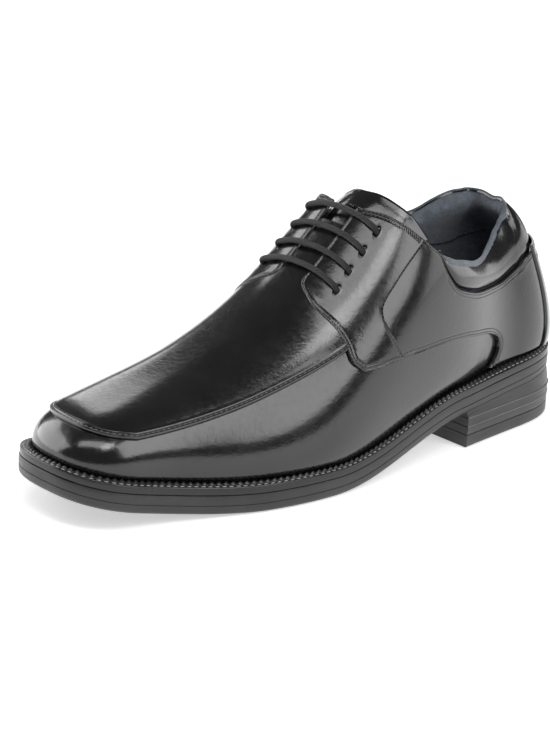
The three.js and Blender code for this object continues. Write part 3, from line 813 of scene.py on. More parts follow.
@dataclass
class Bottom:
    """The sole, the heel with its top lift, the welt with its stitches, and the sock."""

    bench: Bench
    side_rows: tuple = (
        (0.3, 0.0), (0.16, 0.0), (0.08, 0.05), (0.03, 0.12), (0.01, 0.25), (0.0, 0.44), (0.0, 0.455), (0.03, 0.47),
        (0.03, 0.49), (0.0, 0.505), (-0.004, 0.7), (0.0, 0.92), (0.02, 0.98), (0.06, 1.0),
    )
    heel_rows: tuple = (
        (0.3, 6.3), (-1.15, 6.3), (-1.3, 6.5), (-1.3, 10.0), (-1.2, 14.5), (-1.1, 14.95),
    )
    ridge_levels: tuple = (10.3, 14.7)
    ridge_rows: tuple = ((0.0, -0.2), (-1.38, -0.2), (-1.5, -0.1), (-1.5, 0.12), (-1.3, 0.2), (0.0, 0.2))
    lift_rows: tuple = ((0.05, 0.0), (-0.12, 0.0), (-0.2, 0.06), (-0.23, 0.16), (-0.22, 0.9), (-0.18, 0.98), (0.0, 1.0))
    wheel_pitch: float = 3.4
    stitch_out: float = 0.66
    bead_out: float = 0.2

    def build(self) -> None:
        """Builds every piece of the bottom."""
        bench, last = self.bench, self.bench.last
        ring = bench.ring_steps(26, 110, 46)
        sole = bench.slab("outsole_rubber", last.sole, [
            (draw * last.sole_thick, lambda x, s=share: last.sole_under(x) + s * last.sole_thick)
            for draw, share in self.side_rows
        ], ring)
        bench.hand_in(sole, RUBBER, Slot.SOLE, "outsole", angle=40)
        breast = last.sole.step_at(last.heel_length)
        heel_ring = self.heel_ring(breast)
        rows = [(draw, lambda x, z=level: 0 * x + z) for draw, level in self.heel_rows]
        rows += [(-0.7, lambda x: (last.sole_under(x) + 15.5) / 2), (-0.1, last.sole_under),
                 (0.12, lambda x: last.sole_under(x) + 1.2)]
        heel = bench.slab("heel_block", last.sole, rows, heel_ring)
        bench.hand_in(heel, RUBBER, Slot.SOLE, "heel", angle=40)
        ridges = [
            bench.slab("ridge", last.sole, [
                (draw, lambda x, z=level + rise: 0 * x + z) for draw, rise in self.ridge_rows
            ], heel_ring) for level in self.ridge_levels
        ]
        # The ridges are really raised; their pale grey colour is a painted highlight.
        bench.hand_in(bench.join("heel_ridges", ridges), PAINTED_HIGHLIGHT_RUBBER, Slot.SOLE, angle=40)
        lift = bench.slab("top_lift_rubber", last.sole, [
            (draw * last.lift, lambda x, s=share: 0 * x + s * last.lift) for draw, share in self.lift_rows
        ], heel_ring)
        bench.hand_in(lift, RUBBER, Slot.SOLE, "top_lift", angle=40)
        self.build_welt()
        self.build_sock()

    def heel_ring(self, breast: float) -> tuple[Array, Array]:
        """Steps and sides round the heel, closed across its breast."""
        steps = np.concatenate([np.linspace(0, 1, 40, endpoint=False), np.linspace(1, breast, 14)])
        return there_and_back(steps)

    def welt_point(self, steps: Array, sides: Array, out: float) -> Array:
        """X and Y on the welt: out is 0 at the upper and 1 at the sole's edge."""
        last = self.bench.last
        beside = last.on(steps, sides, 0.012, last.gap)[..., :2]
        edge = last.sole.point(steps, sides)
        return beside * (1 - out) + edge * out

    def build_welt(self) -> None:
        """The welt's strip with its wheeled bead, and two rows of stitches."""
        bench, last = self.bench, self.bench.last
        steps, sides = bench.ring_steps(130, 560, 200)
        flat = self.welt_point(steps, sides, 0.5)
        reach = reach_along(flat)
        wheel = 0.5 - 0.5 * np.cos(2 * np.pi * reach / self.wheel_pitch)
        rows = []
        profile = (
            (0.93, -1.0, 0.0), (0.95, -0.9, 0.0), (0.95, -0.2, 0.0), (0.92, -0.05, 0.0), (0.86, 0.0, 0.0),
            (0.76, 0.0, 0.0), (0.71, -0.05, 0.0), (self.stitch_out, -0.11, 0.0), (0.6, -0.05, 0.0),
            (0.54, 0.0, 0.0), (0.46, 0.0, 0.0),
            (0.4, 0.0, 0.25), (0.32, 0.0, 0.75), (self.bead_out, 0.0, 1.0), (0.1, 0.0, 0.85), (0.02, 0.0, 0.3),
            (-0.1, 0.0, 0.0),
        )
        for out, rise, bead in profile:
            point = self.welt_point(steps, sides, out)
            height = last.welt_top(point[:, 0]) + rise * last.welt_thick
            height = height + bead * last.bead * (1 - 0.6 * wheel * (bead > 0.6))
            rows.append(np.column_stack([point, height]))
        under = last.plan.point(steps, sides, last.wall)
        for rise in (0.0, -1.0):
            rows.append(np.column_stack([under, last.welt_top(under[:, 0]) + rise * last.welt_thick]))
        grid = np.array([*rows, rows[0]])
        welt = bench.sheet("welt_strip", np.concatenate([grid, grid[:, :1]], 1))
        bench.weld(welt)
        bench.hand_in(welt, WELTING, Slot.WELT, "welt", angle=60)
        for name, out, seam, thread in (
            ("welt_stitches", self.stitch_out, Seam(3.4, 2.4, 1.15, 0.55), GREY_THREAD),
            ("welt_inner_stitches", 0.44, Seam(1.75, 1.1, 0.6, 0.25), BLACK_THREAD),
        ):
            point = self.welt_point(steps, sides, out)
            sunk = 0.09 * last.welt_thick if out == self.stitch_out else 0.0
            line = np.column_stack([point, last.welt_top(point[:, 0]) - sunk])
            up = np.tile([0.0, 0.0, 1.0], (len(line), 1))
            bench.hand_in(seam.build(bench, name, [(line, up)]), thread, Slot.WELT)

    def build_sock(self) -> None:
        """The padded sock over the insole."""
        bench, last = self.bench, self.bench.last
        thick, inset = 5.5, last.wall + 2 * last.gap
        rows = ((inset, 0.0), (inset, 0.8), (inset + 0.3, 0.95), (inset + 1.2, 1.0))
        sock = bench.slab("sock_lining", last.plan, [
            (draw, lambda x, s=share: last.sole_top(x) + last.gap + s * thick) for draw, share in rows
        ], bench.ring_steps(16, 60, 20))
        bench.hand_in(sock, CLOTH, Slot.LINING, "insole", angle=40)


TOPLINE = {
    1: ((-0.05, 0.69), (0.082, 0.7), (0.131, 0.718), (0.157, 0.705), (0.184, 0.625), (0.216, 0.575), (0.262, 0.591),
        (0.328, 0.662), (0.361, 0.73), (0.393, 0.832), (0.42, 0.93), (0.439, 0.956), (0.462, 0.928)),
    -1: ((-0.05, 0.7), (0.082, 0.715), (0.131, 0.742), (0.157, 0.745), (0.184, 0.72), (0.216, 0.675), (0.262, 0.66),
         (0.328, 0.69), (0.361, 0.745), (0.393, 0.836), (0.42, 0.93), (0.439, 0.956), (0.462, 0.928)),
}
QUARTER_FRONT = ((1.54, 0.945), (1.545, 0.922), (1.557, 0.872), (1.565, 0.81), (1.571, 0.735), (1.569, 0.658),
                 (1.561, 0.564), (1.555, 0.481), (1.551, 0.403))
QUARTER_FOOT = ((0.531, 0.4), (0.492, 0.39), (0.45, 0.378), (0.413, 0.352), (0.362, 0.32), (0.306, 0.281),
                (0.236, 0.232), (0.199, 0.19), (0.181, 0.137), (0.186, 0.081), (0.204, 0.01))
PAD_FOOT = ((0.363, 0.74), (0.353, 0.662), (0.339, 0.595), (0.325, 0.547), (0.296, 0.499), (0.25, 0.457),
            (0.19, 0.428), (0.158, 0.432), (0.125, 0.46), (0.09, 0.5), (-0.05, 0.53))
EYESTAY = ((0.382, 0.835), (0.398, 0.812), (0.436, 0.748), (0.46, 0.697), (0.475, 0.663), (0.4855, 0.625),
           (0.487, 0.575), (0.48, 0.511), (0.466, 0.431), (0.457, 0.385))
EYELETS = ((0.527, 0.695), (0.501, 0.713), (0.474, 0.718), (0.447, 0.718))
APRON_EDGE = ((1.4, 0.44), (1.65, 0.464), (1.82, 0.457), (1.95, 0.436), (2.11, 0.462), (2.34, 0.516), (2.55, 0.566),
              (2.85, 0.597), (3.0, 0.6))
COLLAR_RIM = {
    1: ((0.0, 0.495), (0.3, 0.503), (0.6, 0.497), (0.85, 0.48), (1.0, 0.451), (1.035, 0.403), (1.07, 0.351),
        (1.12, 0.318), (1.18, 0.315), (1.25, 0.347), (1.29, 0.388)),
    -1: ((0.0, 0.495), (0.3, 0.496), (0.7, 0.485), (1.02, 0.488)),
}
INNER_SEAM = ((1.3, 0.285), (1.15, 0.285), (1.053, 0.292), (0.919, 0.303), (0.722, 0.311), (0.4, 0.322), (0.0, 0.325))
THROAT_HALF = 7.8


class Lines:
    """The pattern's lines on the last, as steps and girths."""

    def __init__(self, last: Last) -> None:
        """Finds each line on both sides."""
        self.last = last
        self.topline = {side: last.side_line(TOPLINE[side], side, (0.2, 1.0)) for side in (1, -1)}
        self.pad_foot = {side: last.side_line(PAD_FOOT, side, (0.1, 0.9)) for side in (1, -1)}
        self.front = {side: self.front_line(side) for side in (1, -1)}
        self.foot = {side: last.side_line(QUARTER_FOOT, side, (0.0, 0.6)) for side in (1, -1)}
        self.eyestay = {side: last.side_line(EYESTAY, side, (0.1, 0.95)) for side in (1, -1)}
        self.apron = Curve([row[0] for row in APRON_EDGE], [row[1] for row in APRON_EDGE])
        self.throat = {side: self.throat_line(side, THROAT_HALF) for side in (1, -1)}

    def front_line(self, side: int) -> Array:
        """The facing's front edge, ended at the foot line's corner."""
        corner = self.last.side_line(QUARTER_FOOT[:2], side, (0.0, 0.6))[0]
        return catmull(np.vstack([QUARTER_FRONT, corner]), 8)

    def throat_line(self, side: int, half: float) -> Array:
        """The facing's edge from its front back to the topline, at a half width."""
        x = np.linspace(0.57, 0.41, 60) * self.last.length
        return self.last.find(side, np.stack([x, 0 * x + side * half], -1), (0, 1), (0.5, 1.0), (1.2, 1.9))

    def topline_girth(self, side: int, step: Array) -> Array:
        """The topline's girth at each step."""
        return self.line_girth(self.topline[side], step)

    def line_girth(self, line: Array, step: Array) -> Array:
        """Any single-valued line's girth at each step."""
        order = np.argsort(line[:, 0])
        return np.interp(step, line[order, 0], line[order, 1])


@dataclass
class Vamp:
    """The toe wall and vamp, and the raised apron with its stitched lip."""

    bench: Bench
    lines: Lines
    thick: float = 1.5
    throat_step: float = 1.528
    seam_row: int = 9
    lip: tuple = (
        (0.0, 0.05), (0.05, 0.5), (0.15, 0.98), (0.35, 1.36), (0.6, 1.58), (0.85, 1.62), (1.1, 1.5), (1.3, 1.15),
        (1.45, 0.85), (1.65, 0.78), (1.85, 0.85), (2.0, 1.12), (2.25, 1.42), (2.6, 1.52), (3.0, 1.46), (3.5, 1.36),
        (4.2, 1.36), (5.2, 1.4), (6.5, 1.4),
    )

    def build(self) -> None:
        """Builds the vamp, the apron and its stitches."""
        bench, lines, last = self.bench, self.lines, self.bench.last
        parts = []
        for side in (1, -1):
            girth = np.concatenate([np.linspace(0, 0.03, 4), np.linspace(0.045, 0.97, 70), [0.985, 1.0]])
            foot = lines.foot[side]
            order = np.argsort(foot[:, 1])
            rear = np.interp(girth, foot[order, 1], foot[order, 0]) - 0.06
            rear = np.where(girth > foot[:, 1].max(), self.throat_step - 0.06 * smooth(1 - girth, 0.06, 0.2), rear)
            share = np.concatenate([np.linspace(0, 1, 100, endpoint=False), np.linspace(1, 2, 64)])
            step = np.where(share[None] < 1, rear[:, None] + (2 - rear[:, None]) * np.minimum(share, 1)[None],
                            2 + np.maximum(share - 1, 0)[None])
            level = self.dress(step, girth[:, None])
            parts.append(bench.sheet("wall", last.on(step, side, girth[:, None], level), side > 0))
        vamp = bench.join("vamp_leather", parts)
        bench.weld(vamp, outward=False)
        bench.thicken(vamp, self.thick)
        bench.hand_in(vamp, LEATHER, Slot.LEATHER, "upper")
        self.build_apron()

    def dress(self, step: Array, girth: Array) -> Array:
        """How far the leather stands off the last: it tucks in above the welt and sinks under the apron."""
        tuck = -0.35 * (1 - smooth(girth, 0.0, 0.05))
        under = -0.8 * smooth(girth - self.lines.apron(step), 0.03, 0.06) * smooth(step, 1.3, 1.5)
        return tuck + under + 0 * step

    def apron_rows(self, step: Array, side: int) -> tuple[Array, Array]:
        """Girths and offsets of the apron's rows at each step."""
        last = self.bench.last
        edge = self.lines.apron(step)
        speed = np.linalg.norm(last.point(step, side, edge + 0.01) - last.point(step, side, edge), axis=-1) / 0.01
        near = [(edge + out / speed, last.gap + rise + 0 * edge) for out, rise in self.lip]
        start = near[-1][0]
        for share in np.linspace(0, 1, 46)[1:]:
            crown = last.gap + self.lip[-1][1]
            near.append((start + (1 - start) * share, crown + 0 * edge))
        return np.array([row[0] for row in near]), np.array([row[1] for row in near])

    def build_apron(self) -> None:
        """The apron, from under the quarters to the toe."""
        bench, last = self.bench, self.bench.last
        parts, runs = [], []
        for side in (1, -1):
            step = np.concatenate([np.linspace(1.44, 2, 110, endpoint=False), np.linspace(2, 3, 80)])
            girth, offset = self.apron_rows(step, side)
            offset = offset - 1.0 * smooth(1.53 - step, -0.02, 0.06)[None]
            parts.append(bench.sheet("half", last.on(step[None] + 0 * girth, side, girth, offset), side > 0))
            sewn = step > 1.5
            run_step, run_girth = step[sewn], girth[self.seam_row][sewn]
            runs.append((last.on(run_step, side, run_girth, offset[self.seam_row][sewn] + 0.02),
                         last.normal(run_step, side, run_girth)))
        apron = bench.join("apron_leather", parts)
        bench.weld(apron, outward=False)
        bench.thicken(apron, 1.0)
        bench.hand_in(apron, LEATHER, Slot.LEATHER, "apron")
        seam = Seam(2.6, 1.6, 0.75, 0.42).build(bench, "apron_stitches", runs)
        # The apron's stitches are black thread; their light grey colour is a painted highlight.
        bench.hand_in(seam, APRON_THREAD_PAINTED_HIGHLIGHT, Slot.LEATHER)


@dataclass
class Quarter:
    """One side panel: the wing, the tab, the facing with its punched eyelets, and its seams."""

    bench: Bench
    lines: Lines
    side: int
    thick: float = 1.85
    spread: float = 1.9
    rings: tuple = (0.0, 0.1, 0.3, 0.65, 1.05, 1.3, 1.55, 2.0, 2.45, 2.75, 3.05, 3.6)
    rows: tuple = (1.3, 2.75)
    eyelet: float = 1.9
    flat_heel: float = 46.0
    flat_side: float = 235.0
    flat_girth: float = 118.0
    groove_rows: tuple = ((0.0, 0.42), (0.22, 0.3), (-0.22, 0.3), (0.5, -0.06), (-0.5, -0.06), (0.95, -0.03),
                          (-0.95, -0.03))

    def chart(self, places: Array) -> Array:
        """Steps and girths as nearly true distances on a flat sheet."""
        step = places[:, 0]
        along = np.where(step < 1, self.flat_heel * step, self.flat_heel + self.flat_side * (step - 1))
        return np.stack([along, self.flat_girth * places[:, 1]], -1)

    def unchart(self, flat: Array) -> Array:
        """Steps and girths of places on the flat sheet."""
        heel = self.flat_heel
        step = np.where(flat[:, 0] < heel, flat[:, 0] / heel, 1 + (flat[:, 0] - heel) / self.flat_side)
        return np.stack([step, flat[:, 1] / self.flat_girth], -1)

    def outline(self) -> Array:
        """The panel's closed outline, from the back seam's foot round the front and back along the top."""
        lines, side = self.lines, self.side
        foot = lines.foot[side][::-1]
        low = 0.014
        bottom = np.stack([np.linspace(0.0, foot[0, 0], 60), np.full(60, low)], -1)
        foot = foot[foot[:, 1] > low]
        front = lines.front[side][::-1]
        front = front[np.abs(self.to_last(front)[:, 1]) > THROAT_HALF]
        throat = lines.throat[side]
        throat = throat[throat[:, 0] < front[-1, 0] - 0.001]
        throat = throat[throat[:, 1] <= lines.topline_girth(side, throat[:, 0])]
        turn = self.rounded(front[-5], np.array([front[-1, 0] - 0.002, front[-1, 1] + 0.012]), throat[4])
        front, throat = front[:-5], np.vstack([turn, throat[5:]])
        top = lines.topline[side][::-1]
        join = lines.pad_foot[side][0, 0]
        top = top[(top[:, 0] < throat[-1, 0]) & (top[:, 0] > join)]
        pad = lines.pad_foot[side]
        pad = pad[pad[:, 0] > 0.0005]
        pad = pad - [0.0, 0.004]
        back = np.array([[0.0, pad[-1, 1]], [0.0, low]])
        return np.vstack([bottom[:-1], foot, front[1:], throat, top, pad, back])

    def rounded(self, first: Array, corner: Array, last: Array) -> Array:
        """A round corner between two places."""
        t = np.linspace(0, 1, 16)[:, None]
        return (1 - t) ** 2 * first + 2 * t * (1 - t) * corner + t**2 * last

    def to_last(self, outline: Array) -> Array:
        """Points of an outline on the last."""
        return self.bench.last.point(outline[:, 0], self.side, outline[:, 1])

    def resample(self, outline: Array, pitch: float) -> Array:
        """The outline with even spacing on the last, its corners kept."""
        reach = reach_along(self.to_last(outline))
        keep = np.concatenate([[True], np.diff(reach) > 1e-4])
        reach, outline = reach[keep], outline[keep]
        places = np.linspace(0, reach[-1], int(reach[-1] / pitch) + 1)[:-1]
        return read_off(places, reach, outline)

    def drawn_in(self, outline: Array, inset: float) -> Array:
        """The closed outline drawn in by a distance along the leather."""
        last, side = self.bench.last, self.side
        points = self.to_last(outline)
        along = unit(np.roll(points, -1, 0) - np.roll(points, 1, 0))
        normal = last.normal(outline[:, 0], side, np.clip(outline[:, 1], 0.001, 0.999))
        inward = unit(np.cross(normal, along) * side * -1)
        nudge = 1e-4
        step = np.clip(outline[:, 0], nudge, 3 - nudge)
        here = last.point(step, side, outline[:, 1])
        by_step = (last.point(step + nudge, side, outline[:, 1]) - here) / nudge
        by_girth = (last.point(step, side, outline[:, 1] + nudge) - here) / nudge
        a, b, c = (by_step**2).sum(1), (by_step * by_girth).sum(1), (by_girth**2).sum(1)
        d, e = (inward * by_step).sum(1), (inward * by_girth).sum(1)
        size = np.maximum(a * c - b * b, 1e-6)
        move = np.stack([(c * d - b * e) / size, (a * e - b * d) / size], -1)
        moved = outline + inset * move
        moved[:, 0] = np.maximum(moved[:, 0], 0)
        return moved

    def profile(self, inset: Array, rows: Array) -> Array:
        """The panel's rise at a distance from its edge: a folded edge and a groove under each row of stitches."""
        fold = np.sqrt(np.clip(1 - (1 - np.clip(inset / 0.65, 0, 1)) ** 2, 0, 1))
        grooves = sum((rows > k) * np.exp(-(((inset - row) / 0.2) ** 2)) for k, row in enumerate(self.rows))
        return self.bench.last.gap + self.thick * (0.05 + 0.95 * fold) - 0.24 * grooves

    def rows_at(self, edge: Array) -> Array:
        """How many rows of stitches run beside each place of the edge."""
        sewn = (edge[:, 0] > 0.12) & (edge[:, 1] > 0.02)
        twice = sewn & (edge[:, 1] < 0.86) & ~((edge[:, 0] < 1.34) & (edge[:, 1] > 0.35))
        return sewn.astype(int) + twice.astype(int)

    def build(self) -> None:
        """Builds the panel and its seams."""
        bench, last, side = self.bench, self.bench.last, self.side
        edge = self.resample(self.outline(), 1.1)
        rows = self.rows_at(edge)
        places, rises = [edge], [self.profile(np.zeros(len(edge)), rows)]
        for inset in self.rings[1:]:
            ring = self.drawn_in(edge, inset)
            keep = (self.clearance(ring, edge) > 0.8 * inset) & self.inside(ring, edge)
            places.append(ring[keep])
            rises.append(self.profile(np.full(keep.sum(), inset), rows[keep]))
        flat_rise = last.gap + self.thick
        fill = self.lattice(edge)
        places.append(fill)
        rises.append(np.full(len(fill), flat_rise))
        places, rise = self.groove(np.vstack(places), np.concatenate(rises), len(edge))
        rims, middles = [], []
        for at, girth in EYELETS:
            centre, rings = self.hole(at, girth)
            far = np.linalg.norm(self.chart(places) - self.chart(centre[None]), axis=1) > self.eyelet + 1.5
            places, rise = places[far], rise[far]
            rims.append((len(places), len(rings[0])))
            middles.append(self.chart(centre[None])[0])
            places = np.vstack([places, *rings])
            levels = (flat_rise - 0.8, flat_rise + 0.1, flat_rise)
            rise = np.concatenate([rise, *(np.full(len(ring), level) for ring, level in zip(rings, levels))])
        count = len(edge)
        loops = [(i, (i + 1) % count) for i in range(count)]
        for start, length in rims:
            loops += [(start + i, start + (i + 1) % length) for i in range(length)]
        made = delaunay_2d_cdt([Vector(p) for p in self.chart(places)], loops, [list(range(count))], 1, 1e-5, True)
        source = np.array([group[0] if group else -1 for group in made[3]])
        faces = np.array([tuple(face) for face in made[2] if all(source[v] >= 0 for v in face)])
        centres = np.array([tuple(v) for v in made[0]])[faces].mean(1)
        keep = inside(centres, self.chart(edge))
        for middle in middles:
            keep &= np.linalg.norm(centres - middle, axis=1) > self.eyelet * 0.8
        kept = faces[keep].tolist()
        where, rise = places[np.maximum(source, 0)], rise[np.maximum(source, 0)]
        points = last.on(where[:, 0], side, where[:, 1], rise)
        name = "quarter_outer" if side > 0 else "quarter_inner"
        panel = bench.mesh(name, points, kept)
        self.face_out(panel)
        bench.thicken(panel, 1.2)
        bench.hand_in(panel, LEATHER, Slot.LEATHER, "quarter_lateral" if side > 0 else "quarter_medial")
        self.sew(edge)

    def stay(self) -> Array:
        """The eyestay's line, finely."""
        line = catmull(self.lines.eyestay[self.side][::8], 60)
        return self.resample(line, 1.0)

    def groove(self, places: Array, rise: Array, held: int) -> tuple[Array, Array]:
        """Presses the eyestay's seam into the panel, leaving its outline as it is."""
        line = self.stay()
        line = line[self.inside(line, places[:held])]
        line = line[self.clearance(line, places[:held]) > 1.2]
        clear = self.clearance(places, line) > 1.25
        clear[:held] = True
        places, rise = places[clear], rise[clear]
        flat = self.chart(line)
        along = np.gradient(flat, axis=0)
        across = np.stack([-along[:, 1], along[:, 0]], -1) / np.linalg.norm(along, axis=1, keepdims=True)
        top = self.bench.last.gap + self.thick
        for out, drop in self.groove_rows:
            places = np.vstack([places, self.unchart(flat + out * across)])
            rise = np.concatenate([rise, np.full(len(flat), top - drop)])
        return places, rise

    def face_out(self, panel: bpy.types.Object) -> None:
        """Turns the open sheet's faces away from the foot."""
        faces = panel.data.polygons
        total = sum(face.normal.y * face.area for face in faces) * self.side
        if total < 0:
            self.bench.flip(panel)

    def inside(self, places: Array, outline: Array) -> Array:
        """Whether places lie inside the outline on the flat chart."""
        return inside(self.chart(places), self.chart(outline))

    def clearance(self, places: Array, outline: Array) -> Array:
        """Distances from places to the outline, along the leather as near as a chord gives them."""
        points = self.bench.last.point(places[:, 0], self.side, np.clip(places[:, 1], 0, 1))
        line = self.to_last(outline)
        return np.array([np.linalg.norm(line - point, axis=1).min() for point in points])

    def lattice(self, edge: Array) -> Array:
        """Staggered points that fill the panel's middle."""
        pitch = self.spread
        low, high = self.chart(edge).min(0), self.chart(edge).max(0)
        rows = np.arange(low[1], high[1], pitch * 0.87)
        flat = np.vstack([
            np.arange(low[0] + (i % 2) * pitch / 2, high[0], pitch)[:, None] @ [[1, 0]] + [0, v]
            for i, v in enumerate(rows)
        ])
        places = self.unchart(flat)
        places = places[self.inside(places, edge)]
        return places[self.clearance(places, edge) > self.rings[-1] + 0.9]

    def hole(self, at: float, girth: float) -> tuple[Array, list[Array]]:
        """A punched hole's middle and rings."""
        centre = np.array([self.bench.last.plan.step_at(at * self.bench.last.length), girth])
        turn = np.linspace(0, 2 * np.pi, 20, endpoint=False)
        rings = []
        for radius in (self.eyelet, self.eyelet + 0.35, self.eyelet + 1.0):
            around = [np.cos(turn) * radius / self.flat_side, np.sin(turn) * radius / self.flat_girth]
            rings.append(centre + np.stack(around, -1))
        return centre, rings

    def run(self, line: Array, offset: float) -> tuple[Array, Array]:
        """A line's points and normals at an offset."""
        last = self.bench.last
        return (last.on(line[:, 0], self.side, line[:, 1], np.full(len(line), offset)),
                last.normal(line[:, 0], self.side, line[:, 1]))

    def sew(self, edge: Array) -> None:
        """The double row round the edge, the eyestay's row and the bar tack."""
        bench, last, side = self.bench, self.bench.last, self.side
        top = last.gap + self.thick - 0.16
        rows = self.rows_at(edge)
        runs = []
        for k, inset in enumerate(self.rows):
            ring = self.drawn_in(edge, inset)
            keep = (self.clearance(ring, edge) > 0.93 * inset) & self.inside(ring, edge) & (rows > k)
            groups = np.split(np.arange(len(ring)), np.where(np.diff(keep.astype(int)) != 0)[0] + 1)
            runs += [self.run(ring[group], top) for group in groups if keep[group[0]] and len(group) > 4]
        line = self.stay()
        line = line[self.inside(line, edge)]
        runs.append(self.run(line[self.clearance(line, edge) > 1.5], top - 0.1))
        runs += self.tack()
        name = "quarter_outer_stitches" if side > 0 else "quarter_inner_stitches"
        bench.hand_in(Seam(1.9, 1.2, 0.55, 0.28).build(bench, name, runs), BLACK_THREAD, Slot.LEATHER)

    def tack(self) -> list[tuple[Array, Array]]:
        """The bar tack behind the tab: two short close rows and their ends."""
        last = self.bench.last
        x = 0.5345 * last.length
        middle = last.find(self.side, np.array([[x, last.feather(x) + 0.535 * last.instep]]), (0, 2), (0.2, 0.9))
        flat = self.chart(middle)[0]
        runs = []
        for across in (-0.9, 0.9):
            line = flat + np.linspace(-3.4, 3.4, 9)[:, None] * [0.97, 0.25] + across * np.array([-0.25, 0.97])
            runs.append(self.run(self.unchart(line), last.gap + self.thick))
        for along in (-3.4, 0.0, 3.4):
            line = flat + along * np.array([0.97, 0.25]) + np.linspace(-0.9, 0.9, 4)[:, None] * [-0.25, 0.97]
            runs.append(self.run(self.unchart(line), last.gap + self.thick))
        return runs


@dataclass
class Collar:
    """The padded collar, the back strip with its patch, and the lining inside."""

    bench: Bench
    lines: Lines
    swell: tuple = ((0.0, 0.5), (0.03, 1.2), (0.07, 1.8), (0.13, 2.3), (0.22, 2.75), (0.35, 2.95), (0.5, 2.75),
                    (0.7, 2.15), (0.85, 1.5), (0.94, 0.95), (0.98, 0.5), (1.0, 0.0))
    roll: tuple = ((1.0, 0.2, 0.01), (1.0, 0.6, 0.008), (0.992, 0.6, 0.0), (0.98, 0.35, 0.0), (0.965, -0.4, 0.0))
    lean_in: float = 6.0
    strip_half: tuple = (24.0, 18.5)
    strip_rise: float = 2.25

    def signed(self, steps: Array) -> tuple[Array, Array]:
        """Signed steps as steps and sides."""
        return np.abs(steps), np.where(steps >= 0, 1, -1)

    def girths(self, signed: Array, kind: str) -> Array:
        """A line's girth at signed steps."""
        pick = {"top": self.rim, "foot": self.lines.pad_foot}[kind]
        step = np.abs(signed)
        return np.where(signed >= 0, self.lines.line_girth(pick[1], step), self.lines.line_girth(pick[-1], step))

    @property
    def rim(self) -> dict:
        """The collar's top edge on each side, as steps and girths."""
        joined = {}
        for side, table in COLLAR_RIM.items():
            base = self.lines.topline[side]
            own = catmull(np.array(table), 10)
            joined[side] = np.vstack([own, base[base[:, 0] > own[-1, 0] + 0.002]])
        return joined

    def leaning(self, step: Array, side: Array) -> Array:
        """How much of the inward lean each place has: the outer side leans further forward than the inner."""
        return np.where(side > 0, 1 - smooth(step, 0.9, 1.3), 1 - smooth(step, 0.0, 0.9))

    def pad_rise(self, share: Array, step: Array, side: Array) -> Array:
        """The collar's stand-off at shares of its height: it swells low down and leans in to its rim."""
        lean = self.leaning(step, side)
        swell = np.interp(share, *np.array(self.swell).T)
        return swell * (1 - 0.45 * lean) - self.lean_in * lean * np.clip(share, 0, 1) ** 2.2

    def build(self) -> None:
        """Builds the pad, the strip and the lining."""
        self.build_pad()
        self.build_strip()
        self.build_lining()

    def build_pad(self) -> None:
        """The padded leather that fills the scoop."""
        bench, last = self.bench, self.bench.last
        tip = {side: self.lines.pad_foot[side][0, 0] for side in (1, -1)}
        signed = np.concatenate([-np.linspace(tip[-1], 0, 120, endpoint=False), np.linspace(0, tip[1], 121)])
        low, high = self.girths(signed, "foot") + 0.003, self.girths(signed, "top")
        high = np.maximum(high, low + 0.002)
        step, side = self.signed(signed)
        foot, rim = [0, 0.015, 0.03, 0.05, 0.07, 0.1], [0.93, 0.955, 0.975, 0.99, 1.0]
        share = np.concatenate([foot, np.linspace(0.13, 0.9, 18), rim])
        rise = self.pad_rise(share[:, None], step[None], side[None])
        girth = low + (high - low) * share[:, None]
        narrow = smooth((high - low) * 110, 0.5, 9.0)
        offset = last.gap + rise * (0.35 + 0.65 * narrow)
        pad = bench.sheet("collar_leather", last.on(step + 0 * girth, side + 0 * girth, girth, offset))
        self.turn_out(pad)
        bench.thicken(pad, 1.0)
        bench.hand_in(pad, LEATHER, Slot.LEATHER, "collar_pad")

    def turn_out(self, piece: bpy.types.Object) -> None:
        """Turns an open sheet that wraps the heel to face away from the foot."""
        middle = -0.11
        faces = piece.data.polygons
        total = sum((face.center.x - middle) * face.normal.x + face.center.y * face.normal.y for face in faces)
        if total < 0:
            self.bench.flip(piece)

    def strip_at(self, share: Array, turn: Array) -> tuple[Array, Array, Array]:
        """Steps, sides and girths on the strip: share runs up it, turn from -1 to 1 across it."""
        foot = float(self.girths(np.array([0.1]), "foot")[0]) - 0.006
        half = self.strip_half[0] + (self.strip_half[1] - self.strip_half[0]) * share
        rough_level = 0.014 + (foot - 0.014) * share
        scale = np.array([self.step_for(width, value) for width, value in zip(half, rough_level)])
        signed = turn[None] * scale[:, None]
        high = self.girths(signed, "foot") + 0.016
        return *self.signed(signed), 0.014 + (high - 0.014) * share[:, None]

    def build_strip(self) -> None:
        """The strip over the back seam, with the rows sewn across its patch."""
        bench, last = self.bench, self.bench.last
        near = np.array([0.0, 0.004, 0.012, 0.025, 0.04])
        turn = np.concatenate([-1 + near, np.linspace(-0.95, 0.95, 60), 1 - near[::-1]])
        edge = 1 - np.abs(turn)
        share = np.linspace(0, 1, 70)
        step, side, level = self.strip_at(share, turn)
        ridge = np.sqrt(np.clip(1 - (1 - np.clip(edge / 0.04, 0, 1)) ** 2, 0, 1))
        strip = bench.sheet("back_strip_leather", last.on(step, side, level, self.strip_rise + 1.1 * ridge + 0 * step))
        self.turn_out(strip)
        bench.thicken(strip, 0.7)
        bench.hand_in(strip, LEATHER, Slot.LEATHER, "back_strip")
        runs = []
        for share_at in (0.985, 0.955, 0.86, 0.83):
            step, side, level = self.strip_at(np.array([share_at]), np.linspace(-0.97, 0.97, 80))
            runs.append((last.on(step[0], side[0], level[0], np.full(80, self.strip_rise + 1.05)),
                         last.normal(step[0], side[0], level[0])))
        bench.hand_in(Seam(1.75, 1.35, 0.5, 0.26).build(bench, "back_strip_stitches", runs), BLACK_THREAD, Slot.LEATHER)

